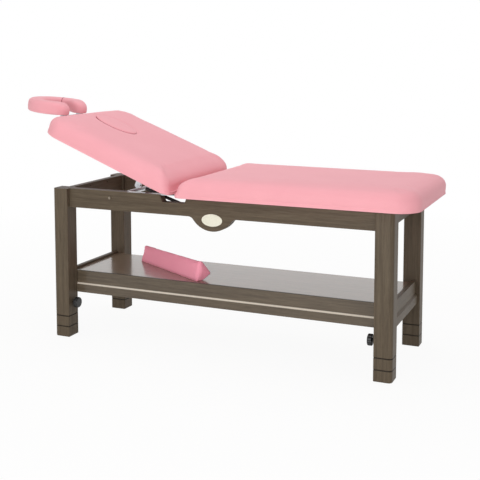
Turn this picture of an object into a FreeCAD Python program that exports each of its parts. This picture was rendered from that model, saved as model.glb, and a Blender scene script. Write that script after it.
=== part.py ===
import FreeCAD, Part
import math
import os
import re

import Sketcher

# A wooden treatment couch with a lifting backrest. Millimetres, +Z up, +X towards the foot end,
# +Y towards the back. The origin lies on the floor under the middle of the overall length.
# Heights count from the floor. A piece that tilts is drawn in a frame of its own and then placed.

SIZES = [
    # The frame of legs and rails.
    ("frame_length", 1656.0),
    ("frame_width", 600.0),
    ("frame_height", 720.0),
    ("leg_side", 80.0),
    ("leg_outer_radius", 18.0),
    ("leg_edge_radius", 4.0),
    ("rest_gap", 0.3),
    ("fit_gap", 0.1),
    ("tool_margin", 1.0),
    # The feet, which slide out of the legs to raise the couch.
    ("foot_block_height", 51.0),
    ("block_edge_radius", 2.5),
    ("spacer_height", 51.0),
    ("post_side", 44.0),
    ("post_height", 260.0),
    ("channel_clearance", 0.5),
    ("channel_headroom", 30.0),
    ("foot_knob_height", 164.0),
    ("knob_diameter", 50.0),
    ("knob_thickness", 20.0),
    ("knob_edge_radius", 4.0),
    ("knob_flute_diameter", 12.0),
    ("knob_flute_depth", 2.5),
    ("knob_stem_diameter", 14.0),
    ("knob_stem_length", 13.0),
    ("clamp_screw_diameter", 8.0),
    ("insert_diameter", 14.0),
    ("insert_length", 15.0),
    # The top rails.
    ("rail_thickness", 40.0),
    ("rail_setback", 24.0),
    ("rail_height", 90.0),
    ("end_rail_thickness", 30.0),
    ("end_rail_setback", 40.0),
    ("tenon_length", 20.0),
    ("tenon_thickness", 14.0),
    ("tenon_shoulder", 15.0),
    ("dip_drop", 61.0),
    ("dip_radius", 115.0),
    ("dip_shoulder_radius", 30.0),
    ("notch_from_middle", 193.0),
    ("notch_length", 140.0),
    ("notch_depth", 34.0),
    ("rear_notch_depth", 14.0),
    ("notch_slant", 14.0),
    ("notch_corner_radius", 6.0),
    ("peg_hole_diameter", 8.0),
    ("peg_hole_spread", 77.0),
    ("peg_hole_drop", 15.0),
    ("plaque_length", 100.0),
    ("plaque_height", 56.0),
    ("plaque_thickness", 3.0),
    ("plaque_edge_radius", 1.0),
    ("plaque_drop", 100.0),
    # The shelf, a shallow tray between the legs.
    ("shelf_top", 302.0),
    ("shelf_thickness", 20.0),
    ("shelf_inset", 40.0),
    ("apron_thickness", 20.0),
    ("apron_bottom", 207.0),
    ("lip_rise", 11.0),
    ("lip_thickness", 8.0),
    ("band_top", 252.0),
    ("band_projection", 8.0),
    ("band_slope", 9.0),
    ("shelf_rail_setback", 20.0),
    ("shelf_screw_diameter", 5.0),
    ("shelf_screw_head_diameter", 10.0),
    ("shelf_screw_bite", 14.0),
    ("shelf_screw_spacing", 45.0),
    # The round bar that the lowered backrest lies on.
    ("bar_diameter", 22.0),
    ("bar_from_middle", 526.5),
    ("bar_drop", 32.0),
    ("bar_bolt_diameter", 8.0),
    ("bar_bolt_head_diameter", 13.0),
    ("bar_bolt_head_thickness", 5.0),
    ("bar_bolt_bite", 30.0),
    # The backrest hinge.
    ("hinge_from_middle", 180.0),
    ("backrest_angle", 22.0),
    ("strap_width", 30.0),
    ("strap_thickness", 3.5),
    ("fixed_strap_length", 258.0),
    ("moving_strap_length", 110.0),
    ("knuckle_diameter", 14.0),
    ("knuckle_width", 9.8),
    ("knuckle_clearance", 0.7),
    ("hinge_pin_diameter", 6.0),
    # The two pads.
    ("pad_width", 700.0),
    ("pad_thickness", 86.7),
    ("pad_edge_radius", 38.0),
    ("pad_base_radius", 4.0),
    ("board_thickness", 15.0),
    ("board_lift", 1.0),
    ("cover_wrap", 5.0),
    ("pad_end_gap", 8.0),
    ("pad_gap_corner_radius", 48.0),
    ("relief_start", 15.0),
    ("relief_slant", 14.8),
    ("relief_rise", 22.0),
    ("seat_reach", 1114.0),
    ("seat_corner_radius", 105.0),
    ("backrest_reach", 742.0),
    ("backrest_corner_radius", 100.0),
    ("hole_place", 545.0),
    ("hole_half_length", 116.0),
    ("hole_half_width", 72.0),
    ("hole_rim", 12.0),
    ("plug_clearance", 1.5),
    ("plug_edge_radius", 8.0),
    # The bearers and the two gas springs under the backrest.
    ("bearer_spread", 205.0),
    ("bearer_width", 30.0),
    ("bearer_start", 30.0),
    ("bearer_end_gap", 12.0),
    ("bearer_gap", 0.5),
    ("anchor_place", 12.0),
    ("anchor_drop", 55.0),
    ("anchor_side", 36.0),
    ("anchor_thickness", 5.0),
    ("stud_diameter", 8.0),
    ("pin_head_diameter", 12.0),
    ("bracket_place", 227.0),
    ("bracket_drop", 65.0),
    ("bracket_length", 26.0),
    ("bracket_plate", 3.0),
    ("bracket_slot", 11.0),
    ("eye_width", 10.0),
    ("cylinder_eye_diameter", 20.0),
    ("cylinder_diameter", 15.0),
    ("cylinder_bore", 12.0),
    ("cylinder_end", 215.0),
    ("cylinder_wall", 10.0),
    ("rod_diameter", 6.0),
    ("piston_diameter", 11.8),
    ("piston_length", 10.0),
    ("rod_reach", 150.0),
    ("rod_eye_diameter", 28.0),
    ("rod_eye_bore", 19.0),
    # The face rest on its sliding fork.
    ("fork_diameter", 12.0),
    ("fork_spread", 110.0),
    ("fork_height", 25.0),
    ("fork_engagement", 137.0),
    ("fork_overhang", 60.0),
    ("fork_bend_radius", 25.0),
    ("guide_diameter", 17.0),
    ("guide_length", 140.0),
    ("face_rest_angle", 6.0),
    ("face_ring_place", 92.0),
    ("face_ring_outer_radius", 149.0),
    ("face_ring_inner_radius", 68.0),
    ("face_ring_half_opening", 47.0),
    ("face_pad_thickness", 68.0),
    ("face_pad_edge_radius", 25.0),
    ("face_pad_base_radius", 8.0),
    ("face_plate_thickness", 8.0),
    ("face_plate_inset", 12.0),
    ("face_clamp_spread", 70.0),
    ("face_clamp_length", 28.0),
    ("face_clamp_width", 22.0),
    ("face_clamp_height", 12.0),
    # The loose wedge cushion on the shelf.
    ("wedge_from_middle", 585.0),
    ("wedge_from_centre_line", 105.0),
    ("wedge_turn", 31.0),
    ("wedge_length", 530.0),
    ("wedge_base_width", 38.0),
    ("wedge_back_reach", 90.0),
    ("wedge_back_rise", 26.0),
    ("wedge_ridge_reach", 26.0),
    ("wedge_near_height", 96.0),
    ("wedge_far_height", 82.0),
    ("wedge_ridge_width", 10.0),
    # Half the difference between the head-end and the foot-end reach.
    ("overall_middle", 0.0),
]

document = FreeCAD.newDocument("TreatmentCouch")
sheet = document.addObject("Spreadsheet::Sheet", "Sizes")
for row, (size_name, amount) in enumerate(SIZES, start=1):
    sheet.set("A%d" % row, size_name)
    sheet.set("B%d" % row, str(amount))
    sheet.setAlias("B%d" % row, size_name)
document.recompute()

SIZE_WORDS = re.compile(r"\b(%s)\b" % "|".join(size_name for size_name, amount in SIZES))
Vector = FreeCAD.Vector
AXES = {"x": Vector(1, 0, 0), "y": Vector(0, 1, 0), "z": Vector(0, 0, 1)}
NODES = []


def formula(text):
    """The text with every size name pointing at the sheet."""
    return SIZE_WORDS.sub(r"Sizes.\1", text)


def number(text):
    """What a text in size names comes to now."""
    amount = sheet.evalExpression(text)
    return float(getattr(amount, "Value", amount))


def bind(thing, path, text):
    thing.setExpression(path, formula(text))


def place(thing, spot, axis=None, angle=None):
    """Puts a thing at a spot of three texts, turned about one axis."""
    if axis:
        thing.Placement = FreeCAD.Placement(Vector(), FreeCAD.Rotation(AXES[axis], number(angle)))
        bind(thing, "Placement.Rotation.Angle", angle)
    for letter, text in zip("xyz", spot):
        bind(thing, "Placement.Base." + letter, text)


def node(thing, label, spot=("0", "0", "0"), axis=None, angle=None):
    """Names a finished sub-part and puts it in the couch."""
    thing.Label = label
    across, deep, up = spot
    place(thing, ("%s - overall_middle" % across, deep, up), axis, angle)
    NODES.append(thing)


# Plain solids.


def block(name, middle, size):
    """A box given by its middle and its three sides."""
    solid = document.addObject("Part::Box", name)
    for path, text in zip(("Length", "Width", "Height"), size):
        bind(solid, path, text)
    place(solid, ["(%s) - (%s)/2" % pair for pair in zip(middle, size)])
    return solid


def bar(name, start, axis, diameter, length):
    """A round bar that runs from its start along one axis."""
    solid = document.addObject("Part::Cylinder", name)
    turns = {"x": ("y", "90"), "y": ("x", "-90"), "z": (None, None)}
    bind(solid, "Radius", "(%s)/2" % diameter)
    bind(solid, "Height", length)
    place(solid, start, *turns[axis])
    return solid


def join(name, pieces):
    solid = document.addObject("Part::MultiFuse", name)
    solid.Shapes = pieces
    solid.Refine = True
    return solid


def carve(name, body, tools):
    """The body less all of the tools."""
    solid = document.addObject("Part::Cut", name)
    solid.Base = body
    solid.Tool = tools[0] if len(tools) == 1 else join(name + "Tools", tools)
    solid.Refine = True
    return solid


def group(name, solids):
    """Several identical fasteners kept as separate solids."""
    together = document.addObject("Part::Compound", name)
    together.Links = solids
    return together


# Drawn solids.


def new_body(name):
    body = document.addObject("PartDesign::Body", name)
    document.recompute()
    return body


def new_sketch(body, name, plane, lift="0"):
    """An empty sketch on one of the body's own planes, lifted along the plane's normal."""
    sketch = body.newObject("Sketcher::SketchObject", name)
    base = [item for item in body.Origin.OriginFeatures if item.Role == plane][0]
    sketch.AttachmentSupport = [(base, "")]
    sketch.MapMode = "FlatFace"
    bind(sketch, "AttachmentOffset.Base.z", lift)
    return sketch


def hold(sketch, constraint, text=None):
    """Adds a constraint and, where it has a size, binds it."""
    index = sketch.addConstraint(constraint)
    if text is not None:
        bind(sketch, "Constraints[%d]" % index, text)


def hold_point(sketch, item, point, spot):
    """Fixes one point of an item at two texts."""
    across, up = spot
    hold(sketch, Sketcher.Constraint("DistanceX", -1, 1, item, point, number(across)), across)
    hold(sketch, Sketcher.Constraint("DistanceY", -1, 1, item, point, number(up)), up)


def draw_corners(body, name, plane, corners, lift="0"):
    """A closed outline of straight lines through the corners."""
    sketch = new_sketch(body, name, plane, lift)
    spots = [Vector(number(across), number(up), 0) for across, up in corners]
    count = len(spots)
    for index in range(count):
        sketch.addGeometry(Part.LineSegment(spots[index], spots[(index + 1) % count]), False)
    for index in range(count):
        hold(sketch, Sketcher.Constraint("Coincident", index, 2, (index + 1) % count, 1))
    for index, corner in enumerate(corners):
        hold_point(sketch, index, 1, corner)
    return sketch


def draw_circle(body, name, plane, middle, diameter, lift="0"):
    sketch = new_sketch(body, name, plane, lift)
    centre = Vector(number(middle[0]), number(middle[1]), 0)
    radius = "(%s)/2" % diameter
    sketch.addGeometry(Part.Circle(centre, Vector(0, 0, 1), number(radius)), False)
    hold_point(sketch, 0, 3, middle)
    hold(sketch, Sketcher.Constraint("Radius", 0, number(radius)), radius)
    return sketch


def draw_ellipse(body, name, plane, middle, long_half, short_half, lift="0"):
    """An ellipse whose long half lies along the sketch's own x."""
    sketch = new_sketch(body, name, plane, lift)
    across, up = number(middle[0]), number(middle[1])
    reach, rise = number(long_half), number(short_half)
    curve = Part.Ellipse(Vector(across + reach, up, 0), Vector(across, up + rise, 0), Vector(across, up, 0))
    sketch.addGeometry(curve, False)
    sketch.exposeInternalGeometry(0)
    hold_point(sketch, 0, 3, middle)
    tip = "(%s) + (%s)" % (middle[0], long_half)
    side = "(%s) + (%s)" % (middle[1], short_half)
    for item in range(1, len(sketch.Geometry)):
        line = sketch.Geometry[item]
        if not isinstance(line, Part.LineSegment):
            continue
        if abs(line.EndPoint.y - line.StartPoint.y) < abs(line.EndPoint.x - line.StartPoint.x):
            point = 1 if line.StartPoint.x > line.EndPoint.x else 2
            hold_point(sketch, item, point, (tip, middle[1]))
        else:
            point = 1 if line.StartPoint.y > line.EndPoint.y else 2
            hold(sketch, Sketcher.Constraint("DistanceY", -1, 1, item, point, number(side)), side)
    return sketch


def extrude(body, kind, name, sketch, length, both_ways=False, backwards=False):
    """A Pad or a Pocket of one sketch."""
    feature = body.newObject("PartDesign::" + kind, name)
    feature.Profile = sketch
    bind(feature, "Length", length)
    if both_ways:
        feature.SideType = "Symmetric"
    feature.Reversed = backwards
    document.recompute()
    return feature


def round_edges(body, name, feature, chosen, radius):
    """Rounds the edges of a feature that the test picks."""
    names = []
    for index, edge in enumerate(feature.Shape.Edges, start=1):
        if chosen(edge):
            names.append("Edge%d" % index)
    fillet = body.newObject("PartDesign::Fillet", name)
    fillet.Base = (feature, names)
    bind(fillet, "Radius", radius)
    document.recompute()
    return fillet


def span(edge):
    box = edge.BoundBox
    return box.XLength, box.YLength, box.ZLength


def upright(edge):
    wide, deep, high = span(edge)
    return high > 1 and wide < 0.01 and deep < 0.01


def at_height(height):
    """A test for edges that lie level at one height."""

    def chosen(edge):
        box = edge.BoundBox
        return abs(box.ZMin - height) < 0.01 and abs(box.ZMax - height) < 0.01

    return chosen


# Places that several parts share.

BAR_X = "(-1*bar_from_middle)"
HINGE_X = "(-1*hinge_from_middle)"
FORK_REACH = "(backrest_reach + fork_overhang)"
FORK_START = "(backrest_reach - cover_wrap - fork_engagement)"
CORNERS = [
    (-1, -1, "head_front"),
    (-1, 1, "head_rear"),
    (1, -1, "foot_front"),
    (1, 1, "foot_rear"),
]
KNOB_FLUTES = 8
WHOLE_TURN = 360

# Legs and feet.

LEG_BOTTOM = "(foot_block_height + spacer_height + rest_gap)"
RAIL_BOTTOM = "(frame_height - rail_height)"
POST_TOP = "(foot_block_height + post_height)"
SCREW_HEIGHT = "(shelf_top - shelf_thickness + apron_bottom)/2 + %d*shelf_screw_spacing/2"


def leg_spot(side_x, side_y):
    return (
        "%d*(frame_length - leg_side)/2" % side_x,
        "%d*(frame_width - leg_side)/2" % side_y,
        "0",
    )


def square_prism(name, low, high):
    """A leg-wide square body with its outer corner ready to round."""
    body = new_body(name)
    half = "leg_side/2"
    back = "-leg_side/2"
    corners = [(back, back), (half, back), (half, half), (back, half)]
    sketch = draw_corners(body, name + "Plan", "XY_Plane", corners, low)
    prism = extrude(body, "Pad", name + "Prism", sketch, "%s - %s" % (high, low))
    return body, prism


def round_prism(body, name, prism, side_x, side_y, soft_ends):
    """Rounds the outer upright corner widely, the other three a little, and the ends at some heights."""
    reach = number("leg_side/2")

    def outer(edge):
        spot = edge.CenterOfMass
        return upright(edge) and spot.x * side_x > reach - 1 and spot.y * side_y > reach - 1

    def inner(edge):
        spot = edge.CenterOfMass
        at_corner = abs(abs(spot.x) - reach) < 0.01 and abs(abs(spot.y) - reach) < 0.01
        return upright(edge) and at_corner

    wide = round_edges(body, name + "OuterRound", prism, outer, "leg_outer_radius")
    soft = round_edges(body, name + "InnerRounds", wide, inner, "leg_edge_radius")
    for rank, height in enumerate(soft_ends):
        rim = at_height(number(height))
        soft = round_edges(body, "%sEnd%d" % (name, rank + 1), soft, rim, "block_edge_radius")


def make_leg(label, side_x, side_y):
    """A square post with mortises for four rails, a channel for its foot and a clamp hole."""
    body, prism = square_prism(label + "_timber", LEG_BOTTOM, "frame_height")
    round_prism(body, label, prism, side_x, side_y, [LEG_BOTTOM])
    channel_side = "post_side + 2*channel_clearance"
    channel_top = "(%s + channel_headroom)" % POST_TOP
    channel_base = "(%s - tool_margin)" % LEG_BOTTOM
    channel = block(
        label + "_channel",
        ("0", "0", "(%s + %s)/2" % (channel_top, channel_base)),
        (channel_side, channel_side, "%s - %s" % (channel_top, channel_base)),
    )
    depth = "(tenon_length + fit_gap)"
    inner = "(leg_side/2 - %s/2 + tool_margin/2)" % depth
    tenon_middle = "frame_height - rail_height/2"
    tenon_rise = "rail_height - 2*tenon_shoulder + 2*fit_gap"
    rail_line = "(rail_setback + rail_thickness/2 - leg_side/2)"
    end_line = "(end_rail_setback + end_rail_thickness/2 - leg_side/2)"
    long_mortise = block(
        label + "_long_mortise",
        ("%d*%s" % (-side_x, inner), "%d*%s" % (-side_y, rail_line), tenon_middle),
        (depth + " + tool_margin", "tenon_thickness + 2*fit_gap", tenon_rise),
    )
    end_mortise = block(
        label + "_end_mortise",
        ("%d*%s" % (-side_x, end_line), "%d*%s" % (-side_y, inner), tenon_middle),
        ("tenon_thickness + 2*fit_gap", depth + " + tool_margin", tenon_rise),
    )
    clamp_hole = bar(
        label + "_clamp_hole",
        ("0" if side_x < 0 else "-(leg_side/2 + tool_margin)", "0", "foot_knob_height"),
        "x",
        "insert_diameter + 2*fit_gap",
        "leg_side/2 + tool_margin",
    )
    tools = [channel, long_mortise, end_mortise, clamp_hole]
    across = "%d*(leg_side/2 - shelf_inset/2)" % -side_x
    start = "-leg_side/2 - tool_margin"
    if side_y < 0:
        start = "leg_side/2 - shelf_screw_bite - tool_margin"
    for rank in (-1, 1):
        tools.append(
            bar(
                "%s_screw_hole_%d" % (label, rank + 2),
                (across, start, SCREW_HEIGHT % rank),
                "y",
                "shelf_screw_diameter + 2*fit_gap",
                "shelf_screw_bite + 2*tool_margin",
            )
        )
    node(carve(label, body, tools), label, leg_spot(side_x, side_y))


def make_foot(label, side_x, side_y):
    """A floor block with the square post that slides in the leg."""
    body, prism = square_prism(label + "_block", "0", "foot_block_height")
    round_prism(body, label, prism, side_x, side_y, ["0", "foot_block_height"])
    post = block(
        label + "_post",
        ("0", "0", "(%s + foot_block_height/2)/2" % POST_TOP),
        ("post_side", "post_side", "%s - foot_block_height/2" % POST_TOP),
    )
    node(join(label, [body, post]), label, leg_spot(side_x, side_y))


def make_spacer(label, side_x, side_y):
    """A loose square ring that lies on the foot block, round the post."""
    top = "(foot_block_height + spacer_height)"
    body, prism = square_prism(label + "_ring", "foot_block_height", top)
    round_prism(body, label, prism, side_x, side_y, ["foot_block_height", top])
    hole_side = "post_side + 2*channel_clearance"
    hole = block(
        label + "_hole",
        ("0", "0", "foot_block_height + spacer_height/2"),
        (hole_side, hole_side, "spacer_height + 2*tool_margin"),
    )
    node(carve(label, body, [hole]), label, leg_spot(side_x, side_y))


def knob_spot(side_x, side_y):
    """The middle of the leg's inner face at the knob's height."""
    return (
        "%d*(frame_length/2 - leg_side)" % side_x,
        "%d*(frame_width - leg_side)/2" % side_y,
        "foot_knob_height",
    )


def make_knob(label, side_x, side_y):
    """A fluted hand knob with its stud, turned as one round profile along the stud."""
    body = new_body(label)
    tip = "-(leg_side/2 - post_side/2 - rest_gap)"
    face = "(knob_stem_length + knob_thickness)"
    profile = [
        (tip, "0"),
        (face, "0"),
        (face, "knob_diameter/2"),
        ("knob_stem_length", "knob_diameter/2"),
        ("knob_stem_length", "knob_stem_diameter/2"),
        ("rest_gap", "knob_stem_diameter/2"),
        ("rest_gap", "clamp_screw_diameter/2"),
        (tip, "clamp_screw_diameter/2"),
    ]
    sketch = draw_corners(body, label + "_profile", "XZ_Plane", profile)
    turned = body.newObject("PartDesign::Revolution", label + "_turned")
    turned.Profile = sketch
    turned.ReferenceAxis = (sketch, ["H_Axis"])
    turned.Angle = WHOLE_TURN
    document.recompute()
    rim = number("knob_diameter/2")

    def at_rim(edge):
        box = edge.BoundBox
        return abs(box.ZMax - rim) < 0.01 and box.XLength < 0.01

    round_edges(body, label + "_rim", turned, at_rim, "knob_edge_radius")
    flute_middle = "knob_diameter/2 + knob_flute_diameter/2 - knob_flute_depth"
    ring = draw_circle(body, label + "_flute", "YZ_Plane", ("0", flute_middle), "knob_flute_diameter", face)
    flute = extrude(body, "Pocket", label + "_flute_cut", ring, "knob_thickness")
    flutes = body.newObject("PartDesign::PolarPattern", label + "_flutes")
    flutes.Originals = [flute]
    stud_axis = [item for item in body.Origin.OriginFeatures if item.Role == "X_Axis"][0]
    flutes.Axis = (stud_axis, [""])
    flutes.Angle = WHOLE_TURN
    flutes.Occurrences = KNOB_FLUTES
    body.Tip = flutes
    node(body, label, knob_spot(side_x, side_y), "z", "0" if side_x < 0 else "180")


def make_clamp_inserts():
    """Threaded bushes in the legs' inner walls, shown with plain bores."""
    bushes = []
    for side_x, side_y, corner in CORNERS:
        across, deep, up = knob_spot(side_x, side_y)
        start = across if side_x > 0 else "%s - insert_length" % across
        name = "clamp_insert_" + corner
        hull = bar(name + "_hull", (start, deep, up), "x", "insert_diameter", "insert_length")
        bore = bar(
            name + "_bore",
            (start + " - tool_margin", deep, up),
            "x",
            "clamp_screw_diameter + 2*fit_gap",
            "insert_length + 2*tool_margin",
        )
        bushes.append(carve(name, hull, [bore]))
    node(group("clamp_inserts", bushes), "clamp_inserts")


# Top rails.


def make_long_rail(label, side_y, notch_depth):
    """A long rail with a rounded dip in its lower edge and a notch for the hinge."""
    body = new_body(label + "_timber")
    low = RAIL_BOTTOM
    end = "(frame_length/2 - leg_side)"
    back = "-" + end
    corners = [(back, low), (end, low), (end, "frame_height"), (back, "frame_height")]
    face = draw_corners(body, label + "_face", "XZ_Plane", corners)
    extrude(body, "Pad", label + "_plank", face, "rail_thickness", both_ways=True)
    dip = draw_dip(body, label + "_dip_curve")
    lobe = extrude(body, "Pad", label + "_dip", dip, "rail_thickness", both_ways=True)
    bottom = number(low)

    def shoulder(edge):
        box = edge.BoundBox
        level = abs(box.ZMin - bottom) < 0.01 and abs(box.ZMax - bottom) < 0.01
        return level and box.XLength < 0.01 and abs(box.XMin) < number("dip_radius")

    soft = round_edges(body, label + "_dip_shoulders", lobe, shoulder, "dip_shoulder_radius")
    floor = "(frame_height - %s)" % notch_depth
    left = "(-1*notch_from_middle - notch_length/2)"
    right = "(notch_length/2 - notch_from_middle)"
    notch = [
        (left, "frame_height + tool_margin"),
        (left + " + notch_slant", floor),
        (right + " - notch_slant", floor),
        (right, "frame_height + tool_margin"),
    ]
    notch_face = draw_corners(body, label + "_notch_face", "XZ_Plane", notch)
    cut = extrude(body, "Pocket", label + "_notch", notch_face, "2*rail_thickness", both_ways=True)
    level = number(floor)

    def notch_corner(edge):
        box = edge.BoundBox
        return abs(box.ZMin - level) < 0.01 and abs(box.ZMax - level) < 0.01 and box.XLength < 0.01

    round_edges(body, label + "_notch_rounds", cut, notch_corner, "notch_corner_radius")
    strap_reach = "(fixed_strap_length + fit_gap)"
    strap_end = "(%s - %s)" % (right, HINGE_X)
    recess = block(
        label + "_strap_recess",
        (
            "%s + (%s - %s)/2" % (HINGE_X, strap_end, strap_reach),
            "0",
            "frame_height + tool_margin/2 - strap_thickness/2",
        ),
        ("%s + %s" % (strap_reach, strap_end), "strap_width + 2*fit_gap", "strap_thickness + tool_margin"),
    )
    bolt_hole = bar(
        label + "_bolt_hole",
        (BAR_X, "-rail_thickness/2 - tool_margin", "frame_height - bar_drop"),
        "y",
        "bar_bolt_diameter + 2*fit_gap",
        "rail_thickness + 2*tool_margin",
    )
    tenons = []
    for side_x in (-1, 1):
        tenons.append(
            block(
                "%s_tenon_%d" % (label, side_x + 2),
                ("%d*%s" % (side_x, end), "0", "frame_height - rail_height/2"),
                ("2*tenon_length", "tenon_thickness", "rail_height - 2*tenon_shoulder"),
            )
        )
    whole = join(label + "_whole", [body] + tenons)
    spot = ("0", "%d*(frame_width/2 - rail_setback - rail_thickness/2)" % side_y, "0")
    node(carve(label, whole, [recess, bolt_hole]), label, spot)


def draw_dip(body, name):
    """The part of a circle that hangs below the rail, closed by a level line inside the rail."""
    sketch = new_sketch(body, name, "XZ_Plane")
    middle = "(%s - dip_drop + dip_radius)" % RAIL_BOTTOM
    chord = "(%s + tool_margin)" % RAIL_BOTTOM
    centre = Vector(0, number(middle), 0)
    radius = number("dip_radius")
    rise = number(chord) - centre.y
    start = math.atan2(rise, -math.sqrt(radius**2 - rise**2)) + 2 * math.pi
    finish = 2 * math.pi + math.atan2(rise, math.sqrt(radius**2 - rise**2))
    arc = Part.ArcOfCircle(Part.Circle(centre, Vector(0, 0, 1), radius), start, finish)
    sketch.addGeometry(arc, False)
    sketch.addGeometry(Part.LineSegment(arc.EndPoint, arc.StartPoint), False)
    hold(sketch, Sketcher.Constraint("Coincident", 0, 2, 1, 1))
    hold(sketch, Sketcher.Constraint("Coincident", 1, 2, 0, 1))
    hold(sketch, Sketcher.Constraint("Horizontal", 1))
    hold(sketch, Sketcher.Constraint("PointOnObject", 0, 3, -2))
    hold(sketch, Sketcher.Constraint("DistanceY", -1, 1, 0, 3, number(middle)), middle)
    hold(sketch, Sketcher.Constraint("DistanceY", -1, 1, 1, 1, number(chord)), chord)
    hold(sketch, Sketcher.Constraint("Radius", 0, radius), "dip_radius")
    return sketch


def make_end_rail(label, side_x, with_pegs):
    """A short rail tenoned between two legs."""
    middle = "%d*(frame_length/2 - end_rail_setback - end_rail_thickness/2)" % side_x
    height = "frame_height - rail_height/2"
    plank = block(
        label + "_plank",
        (middle, "0", height),
        ("end_rail_thickness", "frame_width - 2*leg_side", "rail_height"),
    )
    tenon = block(
        label + "_tenons",
        (middle, "0", height),
        ("tenon_thickness", "frame_width - 2*leg_side + 2*tenon_length", "rail_height - 2*tenon_shoulder"),
    )
    whole = join(label + "_whole", [plank, tenon])
    if with_pegs:
        holes = []
        for side_y in (-1, 1):
            name = "%s_peg_hole_%d" % (label, side_y + 2)
            start = (middle, "%d*peg_hole_spread" % side_y, "frame_height - peg_hole_drop")
            holes.append(bar(name, start, "x", "peg_hole_diameter", "end_rail_thickness"))
        whole = carve(label + "_drilled", whole, holes)
    node(whole, label)


def make_plaque():
    """A blank oval plaque on the front rail's dip."""
    body = new_body("oval_plaque")
    front = "(frame_width/2 - rail_setback)"
    middle = ("0", "frame_height - plaque_drop")
    halves = ("plaque_length/2", "plaque_height/2")
    oval = draw_ellipse(body, "plaque_oval", "XZ_Plane", middle, *halves, lift=front)
    plate = extrude(body, "Pad", "plaque_plate", oval, "plaque_thickness")
    outer = number(front + " + plaque_thickness")
    round_edges(
        body,
        "plaque_rounding",
        plate,
        lambda edge: abs(edge.BoundBox.YMin + outer) < 0.01 and abs(edge.BoundBox.YMax + outer) < 0.01,
        "plaque_edge_radius",
    )
    node(body, "oval_plaque")


# The shelf tray.

TRAY_HALF = "(frame_length/2 - shelf_inset - rest_gap)"
TRAY_SIDE = "(frame_width/2 - leg_side)"
TRAY_END = "(frame_length/2 - shelf_rail_setback - apron_thickness)"
BOARD_BOTTOM = "(shelf_top - shelf_thickness)"


def screw_holes(label, side_y):
    """Clearance holes with countersinks through a shelf rail, heads on its inner face."""
    holes = []
    for side_x in (-1, 1):
        for rank in (-1, 1):
            name = "%s_hole_%d_%d" % (label, side_x + 2, rank + 2)
            across = "%d*(frame_length/2 - leg_side + shelf_inset/2)" % side_x
            start = "%d*%s - apron_thickness - tool_margin" % (side_y, TRAY_SIDE)
            holes.append(
                bar(
                    name,
                    (across, start, SCREW_HEIGHT % rank),
                    "y",
                    "shelf_screw_diameter + 2*fit_gap",
                    "2*(apron_thickness + tool_margin)",
                )
            )
            holes.append(screw_head(name + "_sink", side_y, across, SCREW_HEIGHT % rank, "fit_gap"))
    return holes


def screw_head(name, side_y, across, height, extra):
    """The cone of a countersunk head whose wide end lies on a shelf rail's inner face."""
    cone = document.addObject("Part::Cone", name)
    bind(cone, "Radius1", "shelf_screw_head_diameter/2 + %s" % extra)
    bind(cone, "Radius2", "shelf_screw_diameter/2 + %s" % extra)
    bind(cone, "Height", "(shelf_screw_head_diameter - shelf_screw_diameter)/2")
    spot = (across, "%d*(%s - apron_thickness)" % (side_y, TRAY_SIDE), height)
    place(cone, spot, "x", "%d" % (-90 * side_y))
    return cone


def make_shelf_rail_front():
    """The front rail of the tray, with a lip above the board and a thicker band below."""
    body = new_body("shelf_rail_front_timber")
    outer = "-" + TRAY_SIDE
    inner = "-(%s - apron_thickness)" % TRAY_SIDE
    lip_inner = "-(%s - lip_thickness)" % TRAY_SIDE
    top = "(shelf_top + lip_rise)"
    corners = [
        (outer, "apron_bottom"),
        (inner, "apron_bottom"),
        (inner, BOARD_BOTTOM),
        (lip_inner, BOARD_BOTTOM),
        (lip_inner, top),
        (outer, top),
    ]
    section = draw_corners(body, "front_section", "YZ_Plane", corners)
    extrude(body, "Pad", "front_moulding", section, "2*" + TRAY_HALF, both_ways=True)
    band = new_body("shelf_band")
    face = "-(%s + band_projection)" % TRAY_SIDE
    inside = "-(%s - tool_margin)" % TRAY_SIDE
    corners = [
        (face, "apron_bottom"),
        (inside, "apron_bottom"),
        (inside, "band_top"),
        (outer, "band_top"),
        (face, "band_top - band_slope"),
    ]
    section = draw_corners(band, "band_section", "YZ_Plane", corners)
    extrude(band, "Pad", "band_moulding", section, "frame_length - 2*leg_side", both_ways=True)
    whole = join("shelf_rail_front_whole", [body, band])
    node(carve("shelf_rail_front", whole, screw_holes("shelf_front", -1)), "shelf_rail_front")


def make_shelf_rails():
    plank = block(
        "shelf_rail_rear_plank",
        ("0", "%s - apron_thickness/2" % TRAY_SIDE, "(apron_bottom + %s)/2" % BOARD_BOTTOM),
        ("2*" + TRAY_HALF, "apron_thickness", "%s - apron_bottom" % BOARD_BOTTOM),
    )
    node(carve("shelf_rail_rear", plank, screw_holes("shelf_rear", 1)), "shelf_rail_rear")
    for side_x, label in ((-1, "shelf_rail_head"), (1, "shelf_rail_foot")):
        make_shelf_end_rail(label, side_x)


def make_shelf_end_rail(label, side_x):
    """An end rail of the tray between two legs, with the lip and the sloped band of the front rail."""
    body = new_body(label)
    inner = "%d*%s" % (side_x, TRAY_END)
    outer = "%d*(%s + apron_thickness)" % (side_x, TRAY_END)
    face = "%d*(%s + apron_thickness + band_projection)" % (side_x, TRAY_END)
    top = "(shelf_top + lip_rise)"
    corners = [
        (inner, "apron_bottom"),
        (face, "apron_bottom"),
        (face, "band_top - band_slope"),
        (outer, "band_top"),
        (outer, top),
        (inner, top),
    ]
    section = draw_corners(body, label + "_section", "XZ_Plane", corners)
    extrude(body, "Pad", label + "_moulding", section, "2*(%s - rest_gap)" % TRAY_SIDE, both_ways=True)
    node(body, label)


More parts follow.
